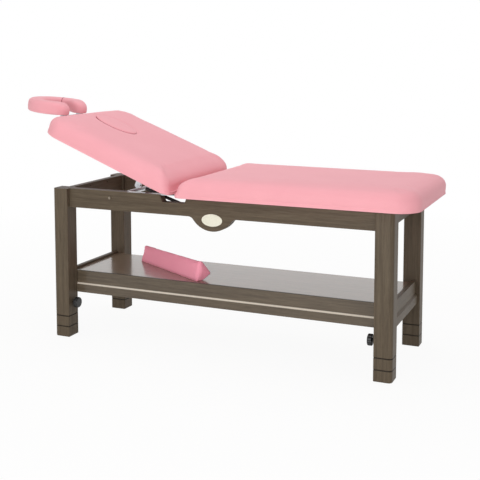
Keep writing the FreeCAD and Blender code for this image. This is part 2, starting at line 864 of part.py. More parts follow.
def make_shelf_board():
    """The board lies behind the lip and over the rear rail."""
    front = "(%s - lip_thickness - rest_gap)" % TRAY_SIDE
    back = "(%s - rest_gap)" % TRAY_SIDE
    board = block(
        "shelf_board_plank",
        ("0", "(%s - %s)/2" % (back, front), "shelf_top - shelf_thickness/2"),
        ("2*" + TRAY_HALF, "%s + %s" % (front, back), "shelf_thickness"),
    )
    node(board, "shelf_board", ("-" + TRAY_HALF, "-" + front, BOARD_BOTTOM))


def make_shelf_screws():
    """Eight countersunk screws that hold the tray to the legs."""
    screws = []
    for side_x, side_y, corner in CORNERS:
        for rank in (-1, 1):
            name = "shelf_screw_%s_%d" % (corner, rank + 2)
            across = "%d*(frame_length/2 - leg_side + shelf_inset/2)" % side_x
            length = "(apron_thickness + shelf_screw_bite)"
            inner = "(%s - apron_thickness)" % TRAY_SIDE
            start = inner if side_y > 0 else "-%s - %s" % (inner, length)
            spot = (across, start, SCREW_HEIGHT % rank)
            shank = bar(name + "_shank", spot, "y", "shelf_screw_diameter", length)
            head = screw_head(name + "_head", side_y, across, SCREW_HEIGHT % rank, "0")
            screws.append(join(name, [shank, head]))
    node(group("shelf_screws", screws), "shelf_screws")


# The cross bar.

RAIL_INNER = "(frame_width/2 - rail_setback - rail_thickness)"


def make_cross_bar():
    """A steel bar between the long rails, drilled at both ends for its bolts."""
    height = "frame_height - bar_drop"
    rod = bar("cross_bar_rod", (BAR_X, "-" + RAIL_INNER, height), "y", "bar_diameter", "2*" + RAIL_INNER)
    depth = "(bar_bolt_bite + tool_margin)"
    shank_length = "(rail_thickness + bar_bolt_bite)"
    face = "(%s + rail_thickness)" % RAIL_INNER
    holes = []
    bolts = []
    for side_y in (-1, 1):
        hole_start = "-%s - tool_margin" % RAIL_INNER
        shank_start = "-" + face
        head_start = "-%s - bar_bolt_head_thickness" % face
        if side_y > 0:
            hole_start = "%s - %s" % (RAIL_INNER, depth)
            shank_start = "%s - bar_bolt_bite" % RAIL_INNER
            head_start = face
        name = "cross_bar_hole_%d" % (side_y + 2)
        bore = "bar_bolt_diameter + 2*fit_gap"
        holes.append(bar(name, (BAR_X, hole_start, height), "y", bore, depth + " + tool_margin"))
        name = "cross_bar_bolt_%d" % (side_y + 2)
        shank = bar(name + "_shank", (BAR_X, shank_start, height), "y", "bar_bolt_diameter", shank_length)
        head = bar(
            name + "_head",
            (BAR_X, head_start, height),
            "y",
            "bar_bolt_head_diameter",
            "bar_bolt_head_thickness",
        )
        bolts.append(join(name, [shank, head]))
    node(carve("cross_bar", rod, holes), "cross_bar")
    node(group("cross_bar_bolts", bolts), "cross_bar_bolts")


# The backrest hinge, each part drawn about the pin.

HINGE = (HINGE_X, "0", "frame_height")
STRAP_SPREAD = "(frame_width/2 - rail_setback - rail_thickness/2)"


def tilted(label, thing, side_y=0, spread="0"):
    """Places a backrest part that was drawn with the pin at the origin and the board level."""
    across, deep, up = HINGE
    node(thing, label, (across, "%d*%s" % (side_y, spread), up), "y", "backrest_angle")


def strap(label, length, low, knuckle_spots, cleared_spots):
    """A flat strap that runs into round knuckles, with room cut for the other strap's knuckles."""
    high_offset = "%s + strap_thickness/2" % low
    leaf = block(
        label + "_leaf",
        ("-(%s)/2" % length, "0", high_offset),
        (length, "strap_width", "strap_thickness"),
    )
    knuckles = []
    rooms = []
    for index, spot in enumerate(knuckle_spots):
        start = ("0", "%s - knuckle_width/2" % spot, "0")
        name = "%s_knuckle_%d" % (label, index + 1)
        knuckles.append(bar(name, start, "y", "knuckle_diameter", "knuckle_width"))
    room_width = "(knuckle_width + 2*knuckle_clearance)"
    for index, spot in enumerate(cleared_spots):
        start = ("0", "%s - %s/2" % (spot, room_width), "0")
        diameter = "knuckle_diameter + 2*knuckle_clearance"
        rooms.append(bar("%s_room_%d" % (label, index + 1), start, "y", diameter, room_width))
    bore = bar(
        label + "_bore",
        ("0", "-strap_width/2 - tool_margin", "0"),
        "y",
        "hinge_pin_diameter + 2*fit_gap",
        "strap_width + 2*tool_margin",
    )
    trimmed = carve(label + "_trimmed", leaf, rooms)
    return carve(label, join(label + "_joined", [trimmed] + knuckles), [bore])


def make_hinge(side_y, suffix):
    outer = ["-(strap_width - knuckle_width)/2", "(strap_width - knuckle_width)/2"]
    fixed = strap("hinge_strap_" + suffix, "fixed_strap_length", "-strap_thickness", outer, ["0"])
    node(fixed, "hinge_strap_" + suffix, (HINGE_X, "%d*%s" % (side_y, STRAP_SPREAD), "frame_height"))
    moving = strap("hinge_leaf_" + suffix, "moving_strap_length", "rest_gap", ["0"], outer)
    tilted("hinge_leaf_" + suffix, moving, side_y, STRAP_SPREAD)


def make_hinge_pins():
    pins = []
    for side_y in (-1, 1):
        start = (HINGE_X, "%d*%s - strap_width/2" % (side_y, STRAP_SPREAD), "frame_height")
        pins.append(bar("hinge_pin_%d" % (side_y + 2), start, "y", "hinge_pin_diameter", "strap_width"))
    node(group("hinge_pins", pins), "hinge_pins")


# The pads. Each is drawn from the hinge line; side_x is 1 for the seat and -1 for the backrest.


def pad_plan(body, name, side_x, near, reach, half_width, lift):
    corners = [
        ("%d*%s" % (side_x, near), "-" + half_width),
        ("%d*%s" % (side_x, reach), "-" + half_width),
        ("%d*%s" % (side_x, reach), half_width),
        ("%d*%s" % (side_x, near), half_width),
    ]
    return draw_corners(body, name, "XY_Plane", corners, lift)


def round_plan(body, name, feature, side_x, near, reach, near_radius, far_radius):
    """Rounds the four upright corners of a pad or board."""

    def corners_at(place):
        line = number("%d*%s" % (side_x, place))
        return lambda edge: upright(edge) and abs(edge.CenterOfMass.x - line) < 0.01

    first = round_edges(body, name + "_far", feature, corners_at(reach), far_radius)
    return round_edges(body, name + "_near", first, corners_at(near), near_radius)


def rounded_board(label, side_x, near, far, half_width, low, thickness, radii):
    """A flat board with two hinge-end radii and two far-end radii."""
    body = new_body(label)
    plan = pad_plan(body, label + "_plan", side_x, near, far, half_width, low)
    plate = extrude(body, "Pad", label + "_plate", plan, thickness)
    round_plan(body, label + "_round", plate, side_x, near, far, *radii)
    return body


def pad_board(label, side_x, reach, far_radius, lift):
    return rounded_board(
        label + "_plywood",
        side_x,
        "(pad_end_gap + cover_wrap)",
        "(%s - cover_wrap)" % reach,
        "(pad_width/2 - cover_wrap)",
        lift,
        "board_thickness",
        ("pad_gap_corner_radius - cover_wrap", "%s - cover_wrap" % far_radius),
    )


def board_room(label, side_x, reach, far_radius, lift):
    """The space under a cushion that its board fills, with a little room round it."""
    return rounded_board(
        label + "_board_room",
        side_x,
        "(pad_end_gap + cover_wrap - rest_gap)",
        "(%s - cover_wrap + rest_gap)" % reach,
        "(pad_width/2 - cover_wrap + rest_gap)",
        "(%s - tool_margin)" % lift,
        "board_thickness + rest_gap + tool_margin",
        ("pad_gap_corner_radius - cover_wrap + rest_gap", "%s - cover_wrap + rest_gap" % far_radius),
    )


def pad_cushion(label, side_x, reach, far_radius, lift):
    """A covered foam pad with a crowned edge, relieved at the hinge end."""
    body = new_body(label + "_foam")
    near = "pad_end_gap"
    low = "(%s + rest_gap)" % lift
    top = "(%s + pad_thickness)" % low
    plan = pad_plan(body, label + "_plan", side_x, near, reach, "pad_width/2", low)
    slab = extrude(body, "Pad", label + "_slab", plan, "pad_thickness")
    rounded = round_plan(
        body, label + "_round", slab, side_x, near, reach, "pad_gap_corner_radius", far_radius
    )
    crown = round_edges(body, label + "_crown", rounded, at_height(number(top)), "pad_edge_radius")
    round_edges(body, label + "_base", crown, at_height(number(low)), "pad_base_radius")
    relief = draw_relief(body, label + "_relief_curve", side_x, top)
    extrude(body, "Pocket", label + "_relief", relief, "pad_width + 2*tool_margin", both_ways=True)
    return body


def draw_relief(body, name, side_x, top):
    """What is cut from a pad's hinge end: a slant, then a round shoulder, so that a raised pad clears."""
    sketch = new_sketch(body, name, "XZ_Plane")
    start = ("%d*pad_end_gap" % side_x, "relief_start")
    knee_up = "(relief_start + relief_rise)"
    knee = ("%d*(pad_end_gap + relief_slant)" % side_x, knee_up)
    radius = "(%s - %s)" % (top, knee_up)
    centre = ("%d*(pad_end_gap + relief_slant + %s)" % (side_x, radius), knee_up)
    over = "(%s + tool_margin)" % top
    past = "%d*(pad_end_gap - tool_margin)" % side_x
    middle = Vector(number(centre[0]), number(centre[1]), 0)
    size = number(radius)
    circle = Part.Circle(middle, Vector(0, 0, 1), size)
    quarter = math.pi / 2
    start_angle = quarter if side_x > 0 else 0
    sketch.addGeometry(Part.ArcOfCircle(circle, start_angle, start_angle + quarter), False)
    knee_end, top_end = (2, 1) if side_x > 0 else (1, 2)
    corners = [knee, start, (past, "relief_start"), (past, over), (centre[0], over), (centre[0], top)]
    spots = [Vector(number(across), number(up), 0) for across, up in corners]
    lines = len(corners) - 1
    for index in range(lines):
        sketch.addGeometry(Part.LineSegment(spots[index], spots[index + 1]), False)
    hold(sketch, Sketcher.Constraint("Coincident", 0, knee_end, 1, 1))
    hold(sketch, Sketcher.Constraint("Coincident", 0, top_end, lines, 2))
    for index in range(1, lines):
        hold(sketch, Sketcher.Constraint("Coincident", index, 2, index + 1, 1))
    for index in range(lines):
        hold_point(sketch, index + 1, 1, corners[index])
    hold_point(sketch, 0, 3, centre)
    hold(sketch, Sketcher.Constraint("Vertical", lines))
    return sketch


def make_seat():
    board = pad_board("seat_board", 1, "seat_reach", "seat_corner_radius", "0")
    node(board, "seat_board", HINGE)
    cushion = pad_cushion("seat_cushion", 1, "seat_reach", "seat_corner_radius", "0")
    room = board_room("seat_cushion", 1, "seat_reach", "seat_corner_radius", "0")
    node(carve("seat_cushion", cushion, [room]), "seat_cushion", HINGE)


def leaf_recesses(name):
    """The two shallow slots from below that the hinge leaves lie in."""
    recesses = []
    depth = "(rest_gap + strap_thickness + fit_gap)"
    length = "(moving_strap_length + fit_gap)"
    for side_y in (-1, 1):
        recesses.append(
            block(
                "%s_leaf_recess_%d" % (name, side_y + 2),
                ("-%s/2" % length, "%d*%s" % (side_y, STRAP_SPREAD), "%s/2" % depth),
                (length, "strap_width + 2*fit_gap", depth),
            )
        )
    return recesses


def make_backrest_board():
    """The plywood of the backrest, with the face hole and recesses for the hinge leaves."""
    board = pad_board("backrest_board", -1, "backrest_reach", "backrest_corner_radius", "board_lift")
    halves = ("hole_half_length - hole_rim", "hole_half_width - hole_rim")
    oval = draw_ellipse(board, "board_hole_oval", "XY_Plane", ("-hole_place", "0"), *halves)
    through = "board_lift + board_thickness + tool_margin"
    extrude(board, "Pocket", "board_hole", oval, through, backwards=True)
    tilted("backrest_board", carve("backrest_board", board, leaf_recesses("board")))


GUIDE_FLOOR = "(board_lift + board_thickness)"


def make_backrest_cushion():
    """The backrest pad with its face hole and two channels for the guide tubes."""
    outline = (-1, "backrest_reach", "backrest_corner_radius", "board_lift")
    cushion = pad_cushion("backrest_cushion", *outline)
    halves = ("hole_half_length", "hole_half_width")
    oval = draw_ellipse(cushion, "cushion_hole_oval", "XY_Plane", ("-hole_place", "0"), *halves)
    through = "board_lift + pad_thickness + 2*tool_margin"
    extrude(cushion, "Pocket", "cushion_hole", oval, through, backwards=True)
    channels = [board_room("backrest_cushion", *outline)]
    room = "(guide_diameter + 2*rest_gap)"
    near = "(backrest_reach - cover_wrap - guide_length - rest_gap)"
    far = "(backrest_reach + tool_margin)"
    roof = "(fork_height + %s/2)" % room
    across = "-(%s + %s)/2" % (near, far)
    height = "(%s + %s)/2" % (roof, GUIDE_FLOOR)
    size = ("%s - %s" % (far, near), room, "%s - %s" % (roof, GUIDE_FLOOR))
    for side_y in (-1, 1):
        name = "guide_channel_%d" % (side_y + 2)
        channels.append(block(name, (across, "%d*fork_spread" % side_y, height), size))
    tools = channels + leaf_recesses("cushion")
    tilted("backrest_cushion", carve("backrest_cushion", cushion, tools))


def make_breathing_plug():
    """The loose oval plug that fills the face hole and stands on the board's rim."""
    body = new_body("breathing_plug")
    halves = ("hole_half_length - plug_clearance", "hole_half_width - plug_clearance")
    low = "(%s + rest_gap)" % GUIDE_FLOOR
    oval = draw_ellipse(body, "plug_oval", "XY_Plane", ("-hole_place", "0"), *halves, lift=low)
    height = "board_lift + rest_gap + pad_thickness - %s" % low
    foam = extrude(body, "Pad", "plug_foam", oval, height)
    top = number("%s + (%s)" % (low, height))
    round_edges(body, "plug_crown", foam, at_height(top), "plug_edge_radius")
    tilted("breathing_plug", body)


# The bearers and gas springs.

BEARER_LOW = "(bar_diameter/2 - bar_drop + bearer_gap)"
# The bearers stop short of the head rail, so the backrest can lie flat between the rails.
HEAD_RAIL_INNER = "(frame_length/2 - end_rail_setback - end_rail_thickness)"
BEARER_END = "(%s - hinge_from_middle - bearer_end_gap)" % HEAD_RAIL_INNER


def make_bearers():
    for side_y, suffix in ((-1, "front"), (1, "rear")):
        label = "backrest_bearer_" + suffix
        height = "(board_lift - %s)" % BEARER_LOW
        strip = block(
            label + "_strip",
            ("-(bearer_start + %s)/2" % BEARER_END, "0", "(board_lift + %s)/2" % BEARER_LOW),
            ("%s - bearer_start" % BEARER_END, "bearer_width", height),
        )
        slot = block(
            label + "_plate_seat",
            ("-bracket_place", "0", "%s + bracket_plate/2" % BEARER_LOW),
            ("bracket_length + 2*rest_gap", "bearer_width + tool_margin", "bracket_plate"),
        )
        tilted(label, carve(label, strip, [slot]), side_y, "bearer_spread")


def make_bracket(label, side_y):
    """A channel bracket let into the bearer, with a round-ended cheek on each side of the rod eye."""
    width = "(bracket_slot + 2*bracket_plate)"
    top = "(%s + bracket_plate - rest_gap)" % BEARER_LOW
    cheeks = block(
        label + "_cheeks",
        ("-bracket_place", "0", "(%s - bracket_drop)/2" % top),
        ("bracket_length", width, "%s + bracket_drop" % top),
    )
    ends = bar(
        label + "_ends",
        ("-bracket_place", "-%s/2" % width, "-bracket_drop"),
        "y",
        "bracket_length",
        width,
    )
    floor = "(%s - bracket_plate)" % top
    low = "(-bracket_drop - bracket_length/2 - tool_margin)"
    slot = block(
        label + "_slot",
        ("-bracket_place", "0", "(%s + %s)/2" % (floor, low)),
        ("bracket_length + 2*tool_margin", "bracket_slot", "%s - %s" % (floor, low)),
    )
    bore = bar(
        label + "_bore",
        ("-bracket_place", "-%s/2 - tool_margin" % width, "-bracket_drop"),
        "y",
        "stud_diameter + 2*fit_gap",
        width + " + 2*tool_margin",
    )
    solid = carve(label, join(label + "_whole", [cheeks, ends]), [slot, bore])
    tilted(label, solid, side_y, "bearer_spread")


def make_bracket_pins():
    """Plain pins with flat heads that pass through both cheeks."""
    pins = []
    width = "(bracket_slot + 2*bracket_plate)"
    for side_y in (-1, 1):
        name = "bracket_pin_%d" % (side_y + 2)
        outer = "%d*bearer_spread - %s/2" % (side_y, width)
        far_face = "%d*bearer_spread + %s/2" % (side_y, width)
        spot = ("-bracket_place", outer, "-bracket_drop")
        shank = bar(name + "_shank", spot, "y", "stud_diameter", width)
        heads = []
        for rank, start in enumerate((outer + " - bracket_plate", far_face), start=1):
            spot = ("-bracket_place", start, "-bracket_drop")
            heads.append(bar("%s_head_%d" % (name, rank), spot, "y", "pin_head_diameter", "bracket_plate"))
        pins.append(join(name, [shank] + heads))
    tilted("bracket_pins", group("bracket_pins", pins))


SPRING_FOOT = (HINGE_X + " + anchor_place", "frame_height - anchor_drop")
PIN_ACROSS = "(-bracket_place*cos(backrest_angle) - bracket_drop*sin(backrest_angle) - anchor_place)"
PIN_UP = "(bracket_place*sin(backrest_angle) - bracket_drop*cos(backrest_angle) + anchor_drop)"
SPRING_LENGTH = "sqrt(%s^2 + %s^2)" % (PIN_ACROSS, PIN_UP)
SPRING_SLOPE = "atan(%s/(-1*%s))" % (PIN_UP, PIN_ACROSS)


def on_spring(label, thing, side_y):
    """Places a spring part that was drawn with its lower pivot at the origin and its rod along -x."""
    across, up = SPRING_FOOT
    node(thing, label, (across, "%d*bearer_spread" % side_y, up), "y", SPRING_SLOPE)


def make_anchor(label, side_y):
    """A plate on the rail's inner face with the stud that carries the spring's lower eye."""
    reach = "(%s - bearer_spread)" % RAIL_INNER
    plate = block(
        label + "_plate",
        ("0", "%d*(%s - anchor_thickness/2)" % (side_y, reach), "0"),
        ("anchor_side", "anchor_thickness", "anchor_side"),
    )
    end = "(eye_width/2 + bracket_plate)"
    start = "-" + end if side_y > 0 else "-(%s - anchor_thickness/2)" % reach
    length = "%s - anchor_thickness/2 + %s" % (reach, end)
    stud = bar(label + "_stud", ("0", start, "0"), "y", "stud_diameter", length)
    across, up = SPRING_FOOT
    node(join(label, [plate, stud]), label, (across, "%d*bearer_spread" % side_y, up))


def make_cylinder(label, side_y):
    """The pressure tube of a gas spring with its lower eye."""
    eye = bar(label + "_eye", ("0", "-eye_width/2", "0"), "y", "cylinder_eye_diameter", "eye_width")
    tube = bar(
        label + "_tube",
        ("-cylinder_end", "0", "0"),
        "x",
        "cylinder_diameter",
        "cylinder_end - cylinder_eye_diameter/2 + tool_margin",
    )
    chamber_start = "(cylinder_eye_diameter/2 + cylinder_wall)"
    chamber = bar(
        label + "_chamber",
        ("-(cylinder_end - cylinder_wall)", "0", "0"),
        "x",
        "cylinder_bore",
        "cylinder_end - cylinder_wall - " + chamber_start,
    )
    gland = bar(
        label + "_gland",
        ("-(cylinder_end + tool_margin)", "0", "0"),
        "x",
        "rod_diameter + 2*fit_gap",
        "cylinder_wall + 2*tool_margin",
    )
    bore = bar(
        label + "_bore",
        ("0", "-eye_width/2 - tool_margin", "0"),
        "y",
        "stud_diameter + 2*fit_gap",
        "eye_width + 2*tool_margin",
    )
    on_spring(label, carve(label, join(label + "_whole", [eye, tube]), [chamber, gland, bore]), side_y)


def make_rod(label, side_y):
    """The rod with its piston and its upper eye, which has room round the bracket pin."""
    piston_end = "(%s - rod_reach)" % SPRING_LENGTH
    shaft_length = "rod_reach - rod_eye_bore/2 - tool_margin"
    shaft = bar(
        label + "_shaft",
        ("-(%s + %s)" % (piston_end, shaft_length), "0", "0"),
        "x",
        "rod_diameter",
        shaft_length,
    )
    piston = bar(
        label + "_piston",
        ("-(%s + piston_length)" % piston_end, "0", "0"),
        "x",
        "piston_diameter",
        "piston_length",
    )
    spot = ("-" + SPRING_LENGTH, "-eye_width/2", "0")
    eye = bar(label + "_eye", spot, "y", "rod_eye_diameter", "eye_width")
    bore = bar(
        label + "_bore",
        ("-" + SPRING_LENGTH, "-eye_width/2 - tool_margin", "0"),
        "y",
        "rod_eye_bore",
        "eye_width + 2*tool_margin",
    )
    on_spring(label, carve(label, join(label + "_whole", [shaft, piston, eye]), [bore]), side_y)


# The face rest.


def make_guides():
    """Two tubes on the backrest board that the fork slides in."""
    for side_y, suffix in ((-1, "front"), (1, "rear")):
        label = "face_rest_guide_" + suffix
        start = "-(backrest_reach - cover_wrap)"
        hull = bar(label + "_hull", (start, "0", "fork_height"), "x", "guide_diameter", "guide_length")
        bore = bar(
            label + "_bore",
            (start + " - tool_margin", "0", "fork_height"),
            "x",
            "fork_diameter + 2*fit_gap",
            "guide_length + 2*tool_margin",
        )
        tilted(label, carve(label, hull, [bore]), side_y, "fork_spread")


def make_fork():
    """A round bar bent to a U, swept along two straight arms, two bends and a cross piece."""
    body = new_body("face_rest_fork")
    path = new_sketch(body, "fork_path", "XY_Plane", "fork_height")
    start, reach = number(FORK_START), number(FORK_REACH)
    spread, bend = number("fork_spread"), number("fork_bend_radius")
    quarter = math.pi / 2
    corner_x = bend - reach
    corner_y = spread - bend
    path.addGeometry(Part.LineSegment(Vector(-start, -spread, 0), Vector(corner_x, -spread, 0)), False)
    circle = Part.Circle(Vector(corner_x, -corner_y, 0), Vector(0, 0, 1), bend)
    path.addGeometry(Part.ArcOfCircle(circle, 2 * quarter, 3 * quarter), False)
    path.addGeometry(Part.LineSegment(Vector(-reach, -corner_y, 0), Vector(-reach, corner_y, 0)), False)
    circle = Part.Circle(Vector(corner_x, corner_y, 0), Vector(0, 0, 1), bend)
    path.addGeometry(Part.ArcOfCircle(circle, quarter, 2 * quarter), False)
    path.addGeometry(Part.LineSegment(Vector(corner_x, spread, 0), Vector(-start, spread, 0)), False)
    hold(path, Sketcher.Constraint("Horizontal", 0))
    hold(path, Sketcher.Constraint("Vertical", 2))
    hold(path, Sketcher.Constraint("Horizontal", 4))
    hold(path, Sketcher.Constraint("Tangent", 0, 2, 1, 2))
    hold(path, Sketcher.Constraint("Tangent", 1, 1, 2, 1))
    hold(path, Sketcher.Constraint("Tangent", 2, 2, 3, 2))
    hold(path, Sketcher.Constraint("Tangent", 3, 1, 4, 1))
    hold_point(path, 0, 1, ("-" + FORK_START, "-fork_spread"))
    hold_point(path, 4, 2, ("-" + FORK_START, "fork_spread"))
    hold(path, Sketcher.Constraint("DistanceX", -1, 1, 2, 1, -reach), "-" + FORK_REACH)
    hold(path, Sketcher.Constraint("Radius", 1, bend), "fork_bend_radius")
    hold(path, Sketcher.Constraint("Radius", 3, bend), "fork_bend_radius")
    middle = ("-fork_spread", "fork_height")
    section = draw_circle(body, "fork_section", "YZ_Plane", middle, "fork_diameter", "-" + FORK_START)
    sweep = body.newObject("PartDesign::AdditivePipe", "fork_sweep")
    sweep.Profile = section
    sweep.Spine = (path, ["Edge%d" % (index + 1) for index in range(path.GeometryCount)])
    document.recompute()
    tilted("face_rest_fork", body)


TILT_ACROSS = "(%s - %s*cos(backrest_angle) + fork_height*sin(backrest_angle))" % (HINGE_X, FORK_REACH)
TILT_UP = "(frame_height + %s*sin(backrest_angle) + fork_height*cos(backrest_angle))" % FORK_REACH


def on_face_rest(label, thing):
    """Places a face rest part that was drawn with the fork's cross piece at the origin."""
    node(thing, label, (TILT_ACROSS, "0", TILT_UP), "y", "face_rest_angle")


def draw_horseshoe(body, name, outer, inner, lift):
    """An open ring of four arcs: two about the ring's middle and one round each tip."""
    sketch = new_sketch(body, name, "XY_Plane", lift)
    middle = ("-face_ring_place", "0")
    half_width = "((%s) - (%s))/2" % (outer, inner)
    mean = "((face_ring_outer_radius + face_ring_inner_radius)/2)"
    opening = math.radians(number("face_ring_half_opening"))
    centre = Vector(number(middle[0]), 0, 0)
    normal = Vector(0, 0, 1)
    turn = 2 * math.pi
    for radius in (outer, inner):
        circle = Part.Circle(centre, normal, number(radius))
        sketch.addGeometry(Part.ArcOfCircle(circle, opening, turn - opening), False)
    for side_y in (1, -1):
        angle = side_y * opening
        tip = centre + Vector(math.cos(angle), math.sin(angle), 0) * number(mean)
        circle = Part.Circle(tip, normal, number(half_width))
        if side_y > 0:
            arc = Part.ArcOfCircle(circle, angle - math.pi, angle)
        else:
            arc = Part.ArcOfCircle(circle, angle, angle + math.pi)
        sketch.addGeometry(arc, False)
    hold(sketch, Sketcher.Constraint("Tangent", 0, 1, 2, 2))
    hold(sketch, Sketcher.Constraint("Tangent", 2, 1, 1, 1))
    hold(sketch, Sketcher.Constraint("Tangent", 1, 2, 3, 2))
    hold(sketch, Sketcher.Constraint("Tangent", 3, 1, 0, 2))
    hold_point(sketch, 0, 3, middle)
    hold(sketch, Sketcher.Constraint("Coincident", 0, 3, 1, 3))
    hold(sketch, Sketcher.Constraint("Radius", 0, number(outer)), outer)
    hold(sketch, Sketcher.Constraint("Radius", 1, number(inner)), inner)
    for item, side_y in ((2, 1), (3, -1)):
        across = "-face_ring_place + %s*cos(face_ring_half_opening)" % mean
        hold(sketch, Sketcher.Constraint("DistanceX", -1, 1, item, 3, number(across)), across)
    return sketch


def make_face_rest():
    base = "face_clamp_height"
    plate = new_body("face_rest_plate")
    outline = draw_horseshoe(
        plate,
        "plate_outline",
        "face_ring_outer_radius - face_plate_inset",
        "face_ring_inner_radius + face_plate_inset",
        base,
    )
    extrude(plate, "Pad", "plate_slab", outline, "face_plate_thickness")
    on_face_rest("face_rest_plate", plate)
    cushion = new_body("face_rest_cushion")
    low = "(face_clamp_height + rest_gap)"
    radii = ("face_ring_outer_radius", "face_ring_inner_radius")
    outline = draw_horseshoe(cushion, "face_outline", *radii, lift=low)
    slab = extrude(cushion, "Pad", "face_slab", outline, "face_pad_thickness")
    top = number(low + " + face_pad_thickness")
    crown = round_edges(cushion, "face_crown", slab, at_height(top), "face_pad_edge_radius")
    round_edges(cushion, "face_base", crown, at_height(number(low)), "face_pad_base_radius")
    recess = draw_horseshoe(
        cushion,
        "face_recess_outline",
        "face_ring_outer_radius - face_plate_inset + rest_gap",
        "face_ring_inner_radius + face_plate_inset - rest_gap",
        "(%s - tool_margin)" % base,
    )
    depth = "face_plate_thickness + rest_gap + tool_margin"
    extrude(cushion, "Pocket", "face_recess", recess, depth, backwards=True)
    on_face_rest("face_rest_cushion", cushion)
    clamps = []
    for side_y in (-1, 1):
        name = "face_rest_clamp_%d" % (side_y + 2)
        hull = block(
            name + "_hull",
            ("0", "%d*face_clamp_spread" % side_y, "0"),
            ("face_clamp_length", "face_clamp_width", "2*face_clamp_height"),
        )
        bore = bar(
            name + "_bore",
            ("0", "%d*face_clamp_spread - face_clamp_width" % side_y, "0"),
            "y",
            "fork_diameter + 2*fit_gap",
            "2*face_clamp_width",
        )
        clamps.append(carve(name, hull, [bore]))
    on_face_rest("face_rest_clamps", group("face_rest_clamps", clamps))


# The wedge cushion.


def make_wedge():
    """A triangular cushion lofted from a lower far end to a taller near end."""
    body = new_body("wedge_cushion")
    sections = []
    ends = (("far", "0", "wedge_far_height"), ("near", "wedge_length", "wedge_near_height"))
    for name, lift, height in ends:
        corners = [
            ("0", "0"),
            ("wedge_base_width", "0"),
            ("wedge_back_reach", "wedge_back_rise"),
            ("wedge_ridge_reach + wedge_ridge_width", height),
            ("wedge_ridge_reach", height),
        ]
        sections.append(draw_corners(body, "wedge_%s_end" % name, "YZ_Plane", corners, lift))
    loft = body.newObject("PartDesign::AdditiveLoft", "wedge_loft")
    loft.Profile = sections[0]
    loft.Sections = [sections[1]]
    loft.Ruled = True
    document.recompute()
    spot = ("-1*wedge_from_middle", "wedge_from_centre_line", "shelf_top + rest_gap")
    node(body, "wedge_cushion", spot, "z", "-1*wedge_turn")


def make_all():
    for side_x, side_y, corner in CORNERS:
        make_leg("leg_" + corner, side_x, side_y)
        make_foot("foot_" + corner, side_x, side_y)
        make_spacer("spacer_" + corner, side_x, side_y)
        make_knob("knob_" + corner, side_x, side_y)
    make_clamp_inserts()
    make_long_rail("top_rail_front", -1, "notch_depth")
    make_long_rail("top_rail_rear", 1, "rear_notch_depth")
    make_end_rail("top_rail_head", -1, True)
    make_end_rail("top_rail_foot", 1, False)
    make_plaque()
    make_shelf_rail_front()
    make_shelf_rails()
    make_shelf_board()
    make_shelf_screws()
    make_cross_bar()
    make_hinge(-1, "front")
    make_hinge(1, "rear")
    make_hinge_pins()
    make_seat()
    make_backrest_board()
    make_backrest_cushion()
    make_breathing_plug()
    make_bearers()
    for side_y, suffix in ((-1, "front"), (1, "rear")):
        make_bracket("gas_bracket_" + suffix, side_y)
        make_anchor("gas_anchor_" + suffix, side_y)
        make_cylinder("gas_cylinder_" + suffix, side_y)
        make_rod("gas_rod_" + suffix, side_y)
    make_bracket_pins()
    make_guides()
    make_fork()
    make_face_rest()
    make_wedge()


def centre_overall():
    """Moves the origin under the middle of the overall length."""
    boxes = [thing.Shape.BoundBox for thing in NODES]
    middle = (min(box.XMin for box in boxes) + max(box.XMax for box in boxes)) / 2
    cell = "B%d" % len(SIZES)
    sheet.set(cell, str(round(middle, 3)))
    document.recompute()


def check_states():
    for thing in document.Objects:
        if "Invalid" in thing.State or "Error" in thing.State:
            raise RuntimeError("%s is %s" % (thing.Name, thing.State))
    for thing in NODES:
        if thing.Shape.isNull() or not thing.Shape.isValid() or thing.Shape.Volume <= 0:
            raise RuntimeError("%s has no valid solid" % thing.Label)


make_all()
document.recompute()
centre_overall()
check_states()
os.makedirs("parts", exist_ok=True)
for thing in NODES:
    thing.Shape.exportStep("parts/%s.step" % thing.Label)
print("%d sub-parts, origin moved by %s mm" % (len(NODES), sheet.get("B%d" % len(SIZES))))
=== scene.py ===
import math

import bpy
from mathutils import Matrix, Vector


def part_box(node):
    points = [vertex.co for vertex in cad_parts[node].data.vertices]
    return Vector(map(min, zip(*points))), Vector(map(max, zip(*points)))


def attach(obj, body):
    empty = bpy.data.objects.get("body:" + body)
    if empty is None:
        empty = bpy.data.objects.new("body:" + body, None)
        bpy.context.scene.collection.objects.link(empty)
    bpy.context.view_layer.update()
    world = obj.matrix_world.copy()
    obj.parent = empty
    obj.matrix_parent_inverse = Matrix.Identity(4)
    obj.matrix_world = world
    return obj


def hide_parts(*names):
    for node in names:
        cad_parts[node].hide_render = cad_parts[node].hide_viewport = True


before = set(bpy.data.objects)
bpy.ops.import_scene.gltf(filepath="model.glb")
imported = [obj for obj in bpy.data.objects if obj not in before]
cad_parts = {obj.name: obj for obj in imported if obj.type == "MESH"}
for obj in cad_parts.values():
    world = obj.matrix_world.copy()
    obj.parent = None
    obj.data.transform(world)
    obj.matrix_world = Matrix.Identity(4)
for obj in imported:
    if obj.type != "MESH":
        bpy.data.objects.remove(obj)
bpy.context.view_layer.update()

# %% [markdown]
# A treatment couch: a stained wooden frame of four square legs, a low shelf, and two padded
# tops in pink synthetic leather, of which the head-end one is raised. The hard parts come from
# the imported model, and get their finishes here. The soft parts are modelled here, because foam
# under a cover has no flat faces.

# %% [markdown]
# The couch's own measures, in metres. Each soft piece is shaped in a frame of its own, which
# starts at the hinge pin for the pads, and is then turned and moved to its place.

